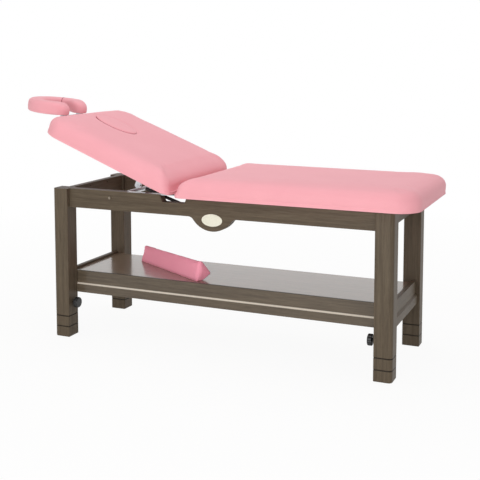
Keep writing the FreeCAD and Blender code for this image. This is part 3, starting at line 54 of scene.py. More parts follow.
# %% Shared measures
TILT = math.radians(22.0)
PIN_HEIGHT = 0.720
pins_low, pins_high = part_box("hinge_pins")
PIN = Vector(((pins_low.x + pins_high.x) / 2, 0.0, PIN_HEIGHT))
PAD_HALF_WIDTH = 0.350
PAD_TOP = 0.087
SEAT_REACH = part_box("seat_cushion")[1].x - PIN.x
BACK_REACH = 0.742
print("Hinge pin at", tuple(round(value, 4) for value in PIN))

# %% [markdown]
# The camera stands a little above the couch, in front of its foot end. About half of the
# downward look comes from a vertical shift, as on a view camera, and the rest from tipping it,
# so the legs stay nearly upright in the picture.

# %% Camera
PICTURE = 480
FOCAL_PIXELS = 905.9
SENSOR_WIDTH = 36.0
AZIMUTH = math.radians(23.298)
PITCH = math.radians(5.374)
SHIFT_UP = -0.2117
SHIFT_ACROSS = -0.0024
CAMERA_PAST_PIN = 1.8726
CAMERA_DEPTH = -3.8777
CAMERA_HEIGHT = 1.3606
FAR_CLIP = 60.0
camera_data = bpy.data.cameras.new("camera")
camera = bpy.data.objects.new("camera", camera_data)
bpy.context.collection.objects.link(camera)
bpy.context.scene.camera = camera
camera_data.sensor_width = SENSOR_WIDTH
camera_data.lens = FOCAL_PIXELS / PICTURE * SENSOR_WIDTH
camera_data.shift_y = SHIFT_UP
camera_data.shift_x = SHIFT_ACROSS
camera.location = (PIN.x + CAMERA_PAST_PIN, CAMERA_DEPTH, CAMERA_HEIGHT)
camera.rotation_euler = (math.pi / 2 - PITCH, 0.0, AZIMUTH)
camera_data.clip_end = FAR_CLIP
print("Lens:", round(camera_data.lens, 1), "mm")

# %% [markdown]
# A finish is a small tree of nodes. Colours are written as the hex values that a painter would
# pick, and one function turns them into the linear values that the shader wants. One more
# function adds a node with its settings and links, so each finish reads as a short list.

# %% Colour and node helpers
WHITE = (1.0, 1.0, 1.0, 1.0)


def linear(text):
    """An sRGB hex colour as linear red, green, blue and alpha."""
    parts = [int(text[index:index + 2], 16) / 255 for index in (0, 2, 4)]
    bright = [part / 12.92 if part <= 0.04045 else ((part + 0.055) / 1.055) ** 2.4 for part in parts]
    return bright + [1.0]


def add_node(tree, kind, settings=None, inputs=None):
    """Adds a node, with its settings, and its inputs as values or as sockets to link from."""
    node = tree.nodes.new("ShaderNode" + kind)
    for name, value in (settings or {}).items():
        setattr(node, name, value)
    for name, value in (inputs or {}).items():
        if isinstance(value, bpy.types.NodeSocket):
            tree.links.new(value, node.inputs[name])
        else:
            node.inputs[name].default_value = value
    return node


def new_material(name):
    """A material with an empty tree but for its shader and output."""
    material = bpy.data.materials.new(name)
    material.use_nodes = True
    tree = material.node_tree
    tree.nodes.clear()
    shader = add_node(tree, "BsdfPrincipled")
    add_node(tree, "OutputMaterial", inputs={"Surface": shader.outputs["BSDF"]})
    return material, tree, shader


def set_shader(shader, values):
    """Sets plain numbers and colours on the shader's own sockets."""
    for name, value in values.items():
        shader.inputs[name].default_value = value


print("Middle grey in linear values:", round(linear("808080")[0], 3))

# %% [markdown]
# The studio is a wide flat floor of pale paper under a white sky, with broad soft lamps. The
# camera and shiny surfaces see paper and sky as nearly white, while the light that falls on the
# couch stays at a plain level. A little of the paper's matte shade is kept, for a soft shadow.

# %% Floor and world
FLOOR_SIZE = 40.0
FLOOR_DROP = 0.0005
FADE_START, FADE_END = 1.4, 4.0
WHITENESS_NEAR, WHITENESS_FAR = 0.93, 1.0
AMBIENT = 0.58


def deselect():
    """Leaves edit mode and deselects everything."""
    if bpy.context.object and bpy.context.object.mode != "OBJECT":
        bpy.ops.object.mode_set(mode="OBJECT")
    bpy.ops.object.select_all(action="DESELECT")


def seen_directly(tree):
    """A socket that is 1 for rays from the camera or a shiny or clear surface, and 0 for others."""
    path = add_node(tree, "LightPath")
    seen = path.outputs["Is Camera Ray"]
    for kind in ("Is Glossy Ray", "Is Transmission Ray"):
        seen = add_node(tree, "Math", {"operation": "MAXIMUM"}, {0: seen, 1: path.outputs[kind]}).outputs[0]
    return seen


deselect()
bpy.ops.mesh.primitive_plane_add(size=FLOOR_SIZE, location=(0.0, 0.0, -FLOOR_DROP))
floor = bpy.context.object
floor.name = "studio_floor"

paper = bpy.data.materials.new("seamless_paper")
paper.use_nodes = True
tree = paper.node_tree
tree.nodes.clear()
matte = add_node(tree, "BsdfDiffuse", inputs={"Color": linear("f4f3f1")})
glow = add_node(tree, "Emission", inputs={"Color": WHITE, "Strength": 1.0})
# The paper fades to plain white with the distance from the couch, so no horizon shows.
spot = add_node(tree, "TexCoord")
distance = add_node(tree, "VectorMath", {"operation": "LENGTH"}, {0: spot.outputs["Object"]})
whiteness = add_node(
    tree, "MapRange",
    inputs={
        "Value": distance.outputs["Value"],
        "From Min": FADE_START, "From Max": FADE_END,
        "To Min": WHITENESS_NEAR, "To Max": WHITENESS_FAR,
    },
)
share = add_node(tree, "Math", {"operation": "MULTIPLY"}, {0: seen_directly(tree), 1: whiteness.outputs[0]})
mixed = add_node(tree, "MixShader", inputs={0: share.outputs[0], 1: matte.outputs[0], 2: glow.outputs[0]})
add_node(tree, "OutputMaterial", inputs={"Surface": mixed.outputs[0]})
floor.data.materials.append(paper)

world = bpy.data.worlds.new("studio_air")
bpy.context.scene.world = world
world.use_nodes = True
tree = world.node_tree
tree.nodes.clear()
ambient = add_node(tree, "Background", inputs={"Color": WHITE, "Strength": AMBIENT})
sky = add_node(tree, "Background", inputs={"Color": WHITE, "Strength": 1.0})
mixed = add_node(tree, "MixShader", inputs={0: seen_directly(tree), 1: ambient.outputs[0], 2: sky.outputs[0]})
add_node(tree, "OutputWorld", inputs={"Surface": mixed.outputs[0]})
bpy.context.scene.view_settings.view_transform = "Standard"
print("Floor and world are ready")

# %% Lamps


def soft_lamp(name, spot, aim, width, power):
    """A square lamp of a width in metres and a power in watts, turned towards a point."""
    data = bpy.data.lights.new(name, "AREA")
    data.shape = "SQUARE"
    data.size = width
    data.energy = power
    lamp = bpy.data.objects.new(name, data)
    bpy.context.collection.objects.link(lamp)
    lamp.location = spot
    direction = Vector(aim) - Vector(spot)
    lamp.rotation_euler = direction.to_track_quat("-Z", "Y").to_euler()


soft_lamp("lamp_overhead", spot=(0.0, 0.3, 3.4), aim=(0.0, 0.0, 0.6), width=2.4, power=27.0)
soft_lamp("lamp_front", spot=(0.4, -4.4, 0.9), aim=(0.0, 0.0, 0.5), width=2.2, power=80.0)
soft_lamp("lamp_foot_end", spot=(4.2, -2.2, 1.9), aim=(0.6, 0.0, 0.6), width=1.2, power=6.0)
print("Three soft lamps")

# %% [markdown]
# The frame is oak stained a dark grey-brown under satin varnish. Each board's grain runs along
# its length, so there is one material for each direction. Two noises stretched along the board
# give broad streaks and fine pores. Both tint the stain a little, and the pores dent the surface.

# %% Stained oak
STRETCH = 0.05
ALONG = {"x": (STRETCH, 1.0, 1.0), "y": (1.0, STRETCH, 1.0), "z": (1.0, 1.0, STRETCH)}
# Streaks come about 12 mm wide and 250 mm long, and pores about 2 mm wide, so that they show.
STREAKS_PER_METRE = 85.0
PORES_PER_METRE = 480.0
PORE_TONE = (0.86, 0.85, 0.83, 1.0)
PORE_DEPTH = 0.0005


def set_ramp(node, stops):
    """Gives a colour ramp its two stops, each a position and a colour."""
    for element, (position, colour) in zip(node.color_ramp.elements, stops):
        element.position = position
        element.color = colour


def stained_oak(name, lengthwise, gloss, dark_tone, light_tone):
    """Oak whose grain runs along one axis, under varnish: gloss 0 is satin and 1 is polished."""
    material, tree, shader = new_material(name)
    place = add_node(tree, "TexCoord")
    run = add_node(tree, "Mapping", inputs={"Vector": place.outputs["Object"], "Scale": ALONG[lengthwise]})
    streaks = add_node(
        tree, "TexNoise",
        inputs={
            "Vector": run.outputs[0], "Scale": STREAKS_PER_METRE,
            "Detail": 5.0, "Roughness": 0.6, "Distortion": 0.35,
        },
    )
    pores = add_node(
        tree, "TexNoise", inputs={"Vector": run.outputs[0], "Scale": PORES_PER_METRE, "Detail": 3.0}
    )
    tone = add_node(tree, "ValToRGB", inputs={"Fac": streaks.outputs["Fac"]})
    set_ramp(tone, ((0.30, linear(dark_tone)), (0.72, linear(light_tone))))
    dark = add_node(tree, "ValToRGB", inputs={"Fac": pores.outputs["Fac"]})
    set_ramp(dark, ((0.38, PORE_TONE), (0.55, WHITE)))
    colour = add_node(
        tree, "MixRGB", {"blend_type": "MULTIPLY"},
        {"Fac": 1.0, "Color1": tone.outputs[0], "Color2": dark.outputs[0]},
    )
    tree.links.new(colour.outputs[0], shader.inputs["Base Color"])
    # Varnish fills the pores, so a polished board is smoother than a satin one.
    strength = 0.10 * (1.0 - 0.8 * gloss)
    bump = add_node(
        tree, "Bump",
        inputs={"Strength": strength, "Distance": PORE_DEPTH, "Height": pores.outputs["Fac"]},
    )
    tree.links.new(bump.outputs[0], shader.inputs["Normal"])
    set_shader(shader, {
        "Roughness": 0.46 - 0.18 * gloss,
        "Specular IOR Level": 0.15 + 0.35 * gloss,
        "Coat Weight": 0.02 + 0.98 * gloss,
        "Coat Roughness": 0.12,
        "Coat IOR": 1.5 + 0.15 * gloss,
    })
    return material


STAIN = ("52473a", "675b4b")
# The shelf's tones are paler than the frame's stain, which paints in part of the reflection its varnished top
# shows.
SHELF_STAIN_WITH_PAINTED_REFLECTION = ("82725f", "907f6b")
SATIN, RUBBED, POLISHED = 0.0, 0.3, 0.8
oak_along = stained_oak("stained_oak_along", "x", SATIN, *STAIN)
oak_across = stained_oak("stained_oak_across", "y", SATIN, *STAIN)
oak_upright = stained_oak("stained_oak_upright", "z", SATIN, *STAIN)
oak_polished = stained_oak("polished_oak_shelf", "x", POLISHED, *SHELF_STAIN_WITH_PAINTED_REFLECTION)
# The front rail's copy carries a painted highlight and a painted shade line, added below.
oak_painted_lines = stained_oak("stained_oak_painted_highlight_and_shade", "x", RUBBED, *STAIN)
print("Oak finishes for three grain directions, the shelf board and its front rail")

# %% [markdown]
# Some light and shade is painted into the stain as level lines. On the shelf's front rail the slope
# above the band gets a painted highlight, a thin light line, and a painted shade line runs along the
# lip's top. Painted shade also darkens the grooves at the ends of the foot blocks. These lines are level, so
# a tint by height draws them.

# %% Painted highlight and shade lines in the stain
SLOPE_MIDDLE, SLOPE_HALF = 0.2485, 0.0045
LIP_HALF = 0.003
BLOCK_END_HALF = 0.0042
CORE_SHARE = 0.45
# A pale tone for a painted highlight, and a dark one for painted shade.
PAINTED_HIGHLIGHT_TONE = "e2d8c8"
PAINTED_SHADE_TONE = "2b231a"


def tint_at_height(material, height, half_width, colour, amount):
    """Mixes a colour into a finish within a band of heights, strongest in the band's core."""
    tree = material.node_tree
    shader = tree.nodes["Principled BSDF"]
    under = shader.inputs["Base Color"].links[0].from_socket
    place = add_node(tree, "TexCoord")
    axes = add_node(tree, "SeparateXYZ", inputs={0: place.outputs["Object"]})
    offset = add_node(tree, "Math", {"operation": "SUBTRACT"}, {0: axes.outputs["Z"], 1: height})
    distance = add_node(tree, "Math", {"operation": "ABSOLUTE"}, {0: offset.outputs[0]})
    band = add_node(
        tree, "MapRange",
        inputs={
            "Value": distance.outputs[0],
            "From Min": CORE_SHARE * half_width, "From Max": half_width,
            "To Min": amount, "To Max": 0.0,
        },
    )
    tinted = add_node(
        tree, "MixRGB", inputs={"Fac": band.outputs[0], "Color1": under, "Color2": linear(colour)}
    )
    tree.links.new(tinted.outputs[0], shader.inputs["Base Color"])


lip_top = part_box("shelf_rail_front")[1].z
block_low, block_high = (corner.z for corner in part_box("spacer_foot_front"))
# A painted highlight along the rail's slope.
tint_at_height(oak_painted_lines, SLOPE_MIDDLE, SLOPE_HALF, PAINTED_HIGHLIGHT_TONE, 0.9)
# A painted shade line along the lip's top.
tint_at_height(oak_painted_lines, lip_top, LIP_HALF, PAINTED_SHADE_TONE, 0.8)
# Painted shade in the grooves at both ends of the foot blocks.
for height in (block_low, block_high):
    tint_at_height(oak_upright, height, BLOCK_END_HALF, PAINTED_SHADE_TONE, 0.92)
print("Dark lines at", round(block_low, 3), "and", round(block_high, 3), "m on the legs' ends")

# %% [markdown]
# The small hard finishes are zinc-plated, browned and black enamelled steel, moulded black plastic
# with a fine spark-eroded texture, turned brass and the plaque's cream enamel. One noise at each
# one's grain size varies its roughness, as handling does, and dents it very little.

# %% Hard finishes
ROUGHNESS_SPREAD = 0.06
GRAIN_STRENGTH = 0.3


def plain_finish(name, base, metallic, roughness, grain_size, grain_depth):
    """A hard finish whose roughness and surface vary a little at one grain size in metres."""
    material, tree, shader = new_material(name)
    place = add_node(tree, "TexCoord")
    grain = add_node(
        tree, "TexNoise",
        inputs={"Vector": place.outputs["Object"], "Scale": 1.0 / grain_size, "Detail": 3.0},
    )
    spread = add_node(
        tree, "MapRange",
        inputs={
            "Value": grain.outputs["Fac"],
            "To Min": roughness - ROUGHNESS_SPREAD, "To Max": roughness + ROUGHNESS_SPREAD,
        },
    )
    tree.links.new(spread.outputs[0], shader.inputs["Roughness"])
    bump = add_node(
        tree, "Bump",
        inputs={"Strength": GRAIN_STRENGTH, "Distance": grain_depth, "Height": grain.outputs["Fac"]},
    )
    tree.links.new(bump.outputs[0], shader.inputs["Normal"])
    set_shader(shader, {"Base Color": linear(base), "Metallic": metallic})
    return material


zinc_steel = plain_finish("zinc_plated_steel", "c9c9cc", 1.0, 0.30, 0.004, 0.0001)
dull_steel = plain_finish("browned_steel", "857a6c", 0.7, 0.45, 0.003, 0.0001)
black_steel = plain_finish("black_enamelled_steel", "1a1a1b", 0.0, 0.30, 0.003, 0.0001)
black_plastic = plain_finish("moulded_black_plastic", "141414", 0.0, 0.42, 0.0012, 0.0002)
brass = plain_finish("turned_brass", "c8a55a", 1.0, 0.32, 0.003, 0.0001)
cream_enamel = plain_finish("cream_enamel", "e6e4d2", 0.0, 0.28, 0.004, 0.0001)
print("Six hard finishes")

# %% [markdown]
# The covers are synthetic leather: a vinyl skin with a grain of small pebbles over a knitted
# back. It has a soft satin gloss, and its tone clouds a little. The pebbles are drawn about 2 mm
# wide, coarser than the real 1 mm, so that they show.

# %% Pink synthetic leather
PEBBLES_PER_METRE = 500.0
PEBBLE_DEPTH = 0.0004
CLOUDS_PER_METRE = 6.0


def synthetic_leather(name, base, shade):
    """Vinyl with a pebbled grain, whose tone drifts between a base and a shade."""
    material, tree, shader = new_material(name)
    place = add_node(tree, "TexCoord")
    pebbles = add_node(
        tree, "TexVoronoi", {"feature": "SMOOTH_F1"},
        {"Vector": place.outputs["Object"], "Scale": PEBBLES_PER_METRE, "Smoothness": 0.5},
    )
    clouds = add_node(
        tree, "TexNoise",
        inputs={"Vector": place.outputs["Object"], "Scale": CLOUDS_PER_METRE, "Detail": 3.0},
    )
    colour = add_node(
        tree, "MixRGB", inputs={"Fac": clouds.outputs["Fac"], "Color1": linear(shade), "Color2": linear(base)}
    )
    tree.links.new(colour.outputs[0], shader.inputs["Base Color"])
    bump = add_node(
        tree, "Bump",
        inputs={"Strength": 0.18, "Distance": PEBBLE_DEPTH, "Height": pebbles.outputs["Distance"]},
    )
    tree.links.new(bump.outputs[0], shader.inputs["Normal"])
    set_shader(shader, {
        "Roughness": 0.55,
        "Specular IOR Level": 0.22,
        "Sheen Weight": 0.05,
        "Sheen Roughness": 0.4,
    })
    return material


pink_cover = synthetic_leather("pink_synthetic_leather", "f4adb5", "eea4ad")
# A brighter, pinker copy of the same leather for the wedge: painted light against the shade the pads cast on
# it.
wedge_cover_painted_light = synthetic_leather("pink_leather_painted_light", "ffa8bb", "fb9cb1")
# A dark copy: a real seam on the face rest, and painted shade on the plug's side wall.
seam_and_shade_cover = synthetic_leather("pink_leather_seam_and_painted_shade", "a84a5c", "9c4152")
print("Cover finishes ready")

# %% [markdown]
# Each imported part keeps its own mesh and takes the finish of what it's made of. The cover is
# folded round the edges of the two plywood boards and stapled under them, so they wear it too.

# %% Finishes of the hard parts
END_RAILS = ("top_rail_head", "top_rail_foot", "shelf_rail_head", "shelf_rail_foot")


def finish_of(name):
    """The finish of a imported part, from its name."""
    if name.startswith(("foot_", "spacer_", "leg_")):
        return oak_upright
    if name.startswith("knob_"):
        return black_plastic
    if name == "clamp_inserts":
        return brass
    if name == "oval_plaque":
        return cream_enamel
    if name in ("seat_board", "backrest_board"):
        return pink_cover
    if name == "cross_bar_bolts":
        return dull_steel
    if name.startswith("gas_cylinder") or name == "face_rest_plate":
        return black_steel
    if name in END_RAILS:
        return oak_across
    # The shelf board's paler tone is partly painted reflection.
    if name == "shelf_board":
        return oak_polished
    # The front rail's finish carries painted highlight and shade lines.
    if name == "shelf_rail_front":
        return oak_painted_lines
    if name.startswith(("top_rail", "shelf_rail", "backrest_bearer")):
        return oak_along
    return zinc_steel


for name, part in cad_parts.items():
    material = finish_of(name)
    if part.material_slots:
        for holder in part.material_slots:
            holder.material = material
    else:
        part.data.materials.append(material)
print("Finishes set on", len(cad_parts), "packed parts")

# %% [markdown]
# The helpers below do in code what a hand does in Blender: pick faces by their place, inset and
# raise them, run a modifier and apply it. Everything else is deselected first, because an operator
# works on all that is selected.

# %% Shaping helpers


def deselect_all_but(piece):
    """Selects one piece alone and makes it the active one."""
    deselect()
    piece.select_set(True)
    bpy.context.view_layer.objects.active = piece


def pick(piece, kind, test):
    """Selects the faces or edges whose points pass the test, and stays in edit mode."""
    deselect_all_but(piece)
    bpy.ops.object.mode_set(mode="EDIT")
    bpy.ops.mesh.select_mode(type=kind)
    bpy.ops.mesh.select_all(action="DESELECT")
    bpy.ops.object.mode_set(mode="OBJECT")
    points = piece.data.vertices
    parts = piece.data.polygons if kind == "FACE" else piece.data.edges
    for part in parts:
        part.select = test([points[index].co for index in part.vertices])
    bpy.ops.object.mode_set(mode="EDIT")


def box_piece(name, low, high):
    """A box between two corners, with its place in its mesh."""
    deselect()
    low, high = Vector(low), Vector(high)
    bpy.ops.mesh.primitive_cube_add(size=1.0, location=(low + high) / 2)
    piece = bpy.context.object
    piece.name = name
    piece.scale = high - low
    bpy.ops.object.transform_apply(location=True, rotation=True, scale=True)
    return piece


def climb(piece, radius, steps):
    """Insets and raises the picked faces along a quarter circle, and leaves edit mode."""
    for step in range(steps):
        before, after = (math.pi / 2 * count / steps for count in (step, step + 1))
        inward = radius * (math.cos(before) - math.cos(after))
        upward = radius * (math.sin(after) - math.sin(before))
        bpy.ops.mesh.inset(thickness=inward, depth=upward, use_even_offset=True)
    bpy.ops.object.mode_set(mode="OBJECT")


def run_modifier(piece, kind, **settings):
    """Adds a modifier with its settings and applies it."""
    modifier = piece.modifiers.new(kind.lower(), kind)
    for name, value in settings.items():
        setattr(modifier, name, value)
    bpy.context.view_layer.objects.active = piece
    bpy.ops.object.modifier_apply(modifier=modifier.name)


def settle(piece, spot, turn_y=0.0, turn_z=0.0):
    """Turns a piece about its own origin, moves it, and puts its place into its mesh."""
    turn = Matrix.Rotation(turn_z, 4, "Z") @ Matrix.Rotation(turn_y, 4, "Y")
    piece.matrix_world = Matrix.Translation(Vector(spot)) @ turn
    deselect_all_but(piece)
    bpy.ops.object.transform_apply(location=True, rotation=True, scale=True)


def outward(piece):
    """Merges double points and points every face outwards."""
    deselect_all_but(piece)
    bpy.ops.object.mode_set(mode="EDIT")
    bpy.ops.mesh.select_mode(type="VERT")
    bpy.ops.mesh.select_all(action="SELECT")
    bpy.ops.mesh.remove_doubles(threshold=0.0001)
    bpy.ops.mesh.normals_make_consistent(inside=False)
    bpy.ops.object.mode_set(mode="OBJECT")


print("Shaping helpers ready")

# %% [markdown]
# A stretched cover is pushed out by the foam under it. Running the piece as cloth under a little
# inner pressure gives that: the underside is held, the rest swells, and a cap on each point's
# move keeps the piece at its size.

# %% Blowing up a cover as cloth
CLOTH_FRAMES = 20
CLOTH_QUALITY = 5
CLOTH_MASS = 0.3
PRESSURE = 4.0


def blow_up(piece, cap, held):
    """Runs the piece as cloth. Points that pass the test stay, others move up to the cap."""
    before = [vertex.co.copy() for vertex in piece.data.vertices]
    group = piece.vertex_groups.new(name="held")
    group.add([index for index, point in enumerate(before) if held(point)], 1.0, "REPLACE")
    cloth = piece.modifiers.new("cloth", "CLOTH")
    cloth.settings.quality = CLOTH_QUALITY
    cloth.settings.mass = CLOTH_MASS
    cloth.settings.use_pressure = True
    cloth.settings.uniform_pressure_force = PRESSURE
    cloth.settings.effector_weights.gravity = 0.0
    cloth.settings.vertex_group_mass = "held"
    cloth.collision_settings.use_collision = False
    cloth.point_cache.frame_start = 1
    cloth.point_cache.frame_end = CLOTH_FRAMES
    for frame_number in range(1, CLOTH_FRAMES + 1):
        bpy.context.scene.frame_set(frame_number)
    bpy.context.view_layer.objects.active = piece
    bpy.ops.object.modifier_apply(modifier=cloth.name)
    piece.vertex_groups.clear()
    bpy.context.scene.frame_set(1)
    largest = 0.0
    for vertex, start in zip(piece.data.vertices, before):
        move = vertex.co - start
        if move.length > cap:
            move *= cap / move.length
        vertex.co = start + move
        largest = max(largest, move.length)
    print(piece.name, "moved up to", round(largest * 1000, 1), "mm as cloth")


print("Cloth runs for", CLOTH_FRAMES, "frames")

# %% [markdown]
# Each pad is foam on a board under one stretched cover. A box gets its rounded plan from bevelled
# uprights, and its round shoulder from a row of insets that climb in a quarter circle. After an
# even remesh, its hinge end is drawn back so that the two pads clear each other, its sides bulge,
# its middle rises, and the cover is blown up a little.

# %% Outline of a pad
SHOULDER = 0.040
SHOULDER_STEPS = 6
CORNER_SEGMENTS = 12
COVER_SLACK = 0.004
EDGE_SLACK = 0.0008
HINGE_GAP = 0.008
HINGE_CORNER = 0.048
SEAT_CORNER = 0.105
BACK_CORNER = 0.100
UPRIGHT_AT_LEAST = 0.01
NEARLY = 0.001


def upright_at(ends, line):
    """Whether an edge stands upright at a place along x."""
    rise = abs(ends[0].z - ends[1].z)
    return rise > UPRIGHT_AT_LEAST and all(abs(end.x - line) < NEARLY for end in ends)


def rounded_slab(name, near, far, near_radius, far_radius):
    """A flat pad with a rounded plan and a round shoulder, from near to far along x."""
    half = PAD_HALF_WIDTH - EDGE_SLACK
    top = PAD_TOP - COVER_SLACK
    piece = box_piece(name, (near, -half, 0.0), (far, half, top - SHOULDER))
    for line, radius in ((far, far_radius), (near, near_radius)):
        pick(piece, "EDGE", lambda ends: upright_at(ends, line))
        bpy.ops.mesh.bevel(offset=radius, segments=CORNER_SEGMENTS, affect="EDGES")
        bpy.ops.object.mode_set(mode="OBJECT")
    pick(piece, "FACE", lambda points: min(point.z for point in points) > top - SHOULDER - NEARLY)
    climb(piece, SHOULDER, SHOULDER_STEPS)
    return piece


print("Pads are", round(2000 * PAD_HALF_WIDTH), "mm wide and", round(1000 * PAD_TOP), "mm thick")

# %% Foam and cover of a pad
RELIEF_START = 0.015
RELIEF_RISE = 0.022
RELIEF_SLANT = 0.0148
RELIEF_REACH = 0.16
SIDE_BULGE = 0.005
BULGE_REACH = 0.05
CROWN_RISE = 0.005
CROWN_START = 0.03
CROWN_RUN = 0.12
PAD_VOXEL = 0.008
PAD_CAP = 0.006
PAD_HELD = 0.004


def relief_inset(height):
    """How far the hinge end lies back at a height above the board's underside, so the pads clear."""
    if height < RELIEF_START:
        return 0.0
    if height < RELIEF_START + RELIEF_RISE:
        return RELIEF_SLANT * (height - RELIEF_START) / RELIEF_RISE
    radius = PAD_TOP - RELIEF_START - RELIEF_RISE
    level = min((height - RELIEF_START - RELIEF_RISE) / radius, 1.0)
    return RELIEF_SLANT + radius * (1.0 - math.sqrt(1.0 - level * level))


def push_out(point, near, far):
    """Moves one point of a pad for the relief at the hinge, the sides' bulge and the crown."""
    share = max(0.0, 1.0 - (point.x - near) / RELIEF_REACH)
    point.x += relief_inset(point.z + COVER_SLACK) * share
    bulge = SIDE_BULGE * math.sin(math.pi * min(max(point.z / PAD_TOP, 0.0), 1.0))
    inside = PAD_HALF_WIDTH - abs(point.y)
    point.y += math.copysign(bulge * max(0.0, 1.0 - inside / BULGE_REACH), point.y)
    point.x += bulge * max(0.0, 1.0 - (far - point.x) / BULGE_REACH)
    edge = min(PAD_HALF_WIDTH - abs(point.y), far - point.x, point.x - near)
    point.z += CROWN_RISE * min(1.0, max(0.0, edge - CROWN_START) / CROWN_RUN) * (point.z / PAD_TOP)


def build_pad(name, side, far, low, far_radius):
    """A finished pad that runs from the hinge along +x, or for side -1 along -x."""
    piece = rounded_slab(name, HINGE_GAP, far - EDGE_SLACK, HINGE_CORNER, far_radius)
    run_modifier(piece, "REMESH", mode="VOXEL", voxel_size=PAD_VOXEL)
    for vertex in piece.data.vertices:
        push_out(vertex.co, HINGE_GAP, far)
        vertex.co.x *= side
        vertex.co.z += low
    run_modifier(piece, "SMOOTH", factor=0.5, iterations=3)
    outward(piece)
    blow_up(piece, PAD_CAP, lambda point: point.z < low + PAD_HELD)
    run_modifier(piece, "SMOOTH", factor=0.5, iterations=2)
    deselect_all_but(piece)
    bpy.ops.object.shade_smooth()
    piece.data.materials.append(pink_cover)
    return piece


print("Pad builder ready")

# %% Seat pad
REST_GAP = 0.0003
seat_pad = build_pad("seat_pad", 1, SEAT_REACH, REST_GAP, SEAT_CORNER)
settle(seat_pad, PIN)
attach(seat_pad, "frame")
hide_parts("seat_cushion")
print("Seat pad:", len(seat_pad.data.polygons), "faces")

# %% [markdown]
# The backrest has an oval hole for the face, filled by a loose plug of the same foam and cover.
# The cover turns down into the hole, so the rim is sunk a little before the hole is cut.

# %% Backrest pad with its face hole
HOLE_REACH = 0.545
HOLE_HALF_LENGTH = 0.116
HOLE_HALF_WIDTH = 0.072
HOLE_SIDES = 96
RIM_DIP = 0.006
RIM_RUN = 0.012
UPPER_SHARE = 0.6
NEAR_RIM, OFF_RIM = 0.02, 0.03
TOP_SIDE = 0.06
CUTTER_LOW, CUTTER_HIGH = -0.05, 0.15
BOARD_LIFT = 0.001
back_pad = build_pad("backrest_pad", -1, BACK_REACH, BOARD_LIFT + REST_GAP, BACK_CORNER)


def oval_piece(name, half_length, half_width, low, high):
    """An upright oval disc in the backrest's own frame."""
    deselect()
    bpy.ops.mesh.primitive_cylinder_add(vertices=HOLE_SIDES, radius=1.0, depth=1.0, location=(0.0, 0.0, 0.0))
    piece = bpy.context.object
    piece.name = name
    piece.scale = (half_length, half_width, high - low)
    piece.location = (-HOLE_REACH, 0.0, (low + high) / 2)
    bpy.ops.object.transform_apply(location=True, rotation=True, scale=True)
    return piece


def past_rim(point):
    """How far a point lies outside the hole's rim, in metres, or below 0 inside it."""
    across = (point.x + HOLE_REACH) / HOLE_HALF_LENGTH
    deep = point.y / HOLE_HALF_WIDTH
    return (math.hypot(across, deep) - 1.0) * HOLE_HALF_WIDTH


def height_round_hole(piece):
    """The pad's mean height in a narrow ring a little outside the hole."""
    points = (vertex.co for vertex in piece.data.vertices)
    heights = [point.z for point in points if point.z > TOP_SIDE and NEAR_RIM < past_rim(point) < OFF_RIM]
    return sum(heights) / len(heights)


run_modifier(back_pad, "SUBSURF", levels=1, render_levels=1)
for vertex in back_pad.data.vertices:
    if vertex.co.z > PAD_TOP * UPPER_SHARE:
        vertex.co.z -= RIM_DIP * math.exp(-max(past_rim(vertex.co), 0.0) / RIM_RUN)
HEIGHT_ROUND_HOLE = height_round_hole(back_pad)
cutter = oval_piece("hole_cutter", HOLE_HALF_LENGTH, HOLE_HALF_WIDTH, CUTTER_LOW, CUTTER_HIGH)
run_modifier(back_pad, "BOOLEAN", operation="DIFFERENCE", solver="EXACT", object=cutter)
bpy.data.objects.remove(cutter)
deselect_all_but(back_pad)
bpy.ops.object.shade_smooth_by_angle(angle=math.radians(40))
settle(back_pad, PIN, TILT)
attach(back_pad, "backrest")
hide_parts("backrest_cushion")
print("Backrest pad:", len(back_pad.data.polygons), "faces")

# %% [markdown]
# The plug is an oval disc with a small round edge and a low crown. It stands a little proud, and
# its side wall wears painted shade, a dark copy of the leather, so a dark line shows along its near side, and
# its far side is faint.

# %% Plug
PLUG_GAP = 0.0015
PLUG_LOW = 0.0163
PLUG_ROUND = 0.004
PLUG_PROUD = 0.002
PLUG_TOP = HEIGHT_ROUND_HOLE + PLUG_PROUD
PLUG_ROUND_STEPS = 5
CROWN_RINGS = 4
CROWN_INSET = 0.006
FIRST_RISE, LESS_EACH_RING = 0.0012, 0.0003
HAIR = 0.0001
plug = oval_piece(
    "face_hole_plug", HOLE_HALF_LENGTH - PLUG_GAP, HOLE_HALF_WIDTH - PLUG_GAP, PLUG_LOW, PLUG_TOP - PLUG_ROUND
)
pick(plug, "FACE", lambda points: min(point.z for point in points) > PLUG_TOP - PLUG_ROUND - NEARLY)
climb(plug, PLUG_ROUND, PLUG_ROUND_STEPS)
pick(plug, "FACE", lambda points: min(point.z for point in points) > PLUG_TOP - HAIR)
for step in range(CROWN_RINGS):
    # Each ring rises less than the one before it, so the crown is round.
    rise = FIRST_RISE - LESS_EACH_RING * step
    bpy.ops.mesh.inset(thickness=CROWN_INSET, depth=rise, use_even_offset=True)
bpy.ops.object.mode_set(mode="OBJECT")
deselect_all_but(plug)
bpy.ops.object.shade_smooth_by_angle(angle=math.radians(50))
plug.data.materials.append(pink_cover)
plug.data.materials.append(seam_and_shade_cover)
# The side wall's faces take the dark copy, as painted shade.
for face in plug.data.polygons:
    if abs(face.normal.z) < 0.1:
        face.material_index = 1
settle(plug, PIN, TILT)
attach(plug, "plug")
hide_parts("breathing_plug")
print("Plug:", len(plug.data.polygons), "faces")

# %% [markdown]
# The face rest is a horseshoe of foam. Its section, a tall rounded oblong, is spun round the
# ring's middle, and half of it is spun round each tip to close the ends. One radial seam joins
# the cover's ends, on the side away from the plaque.

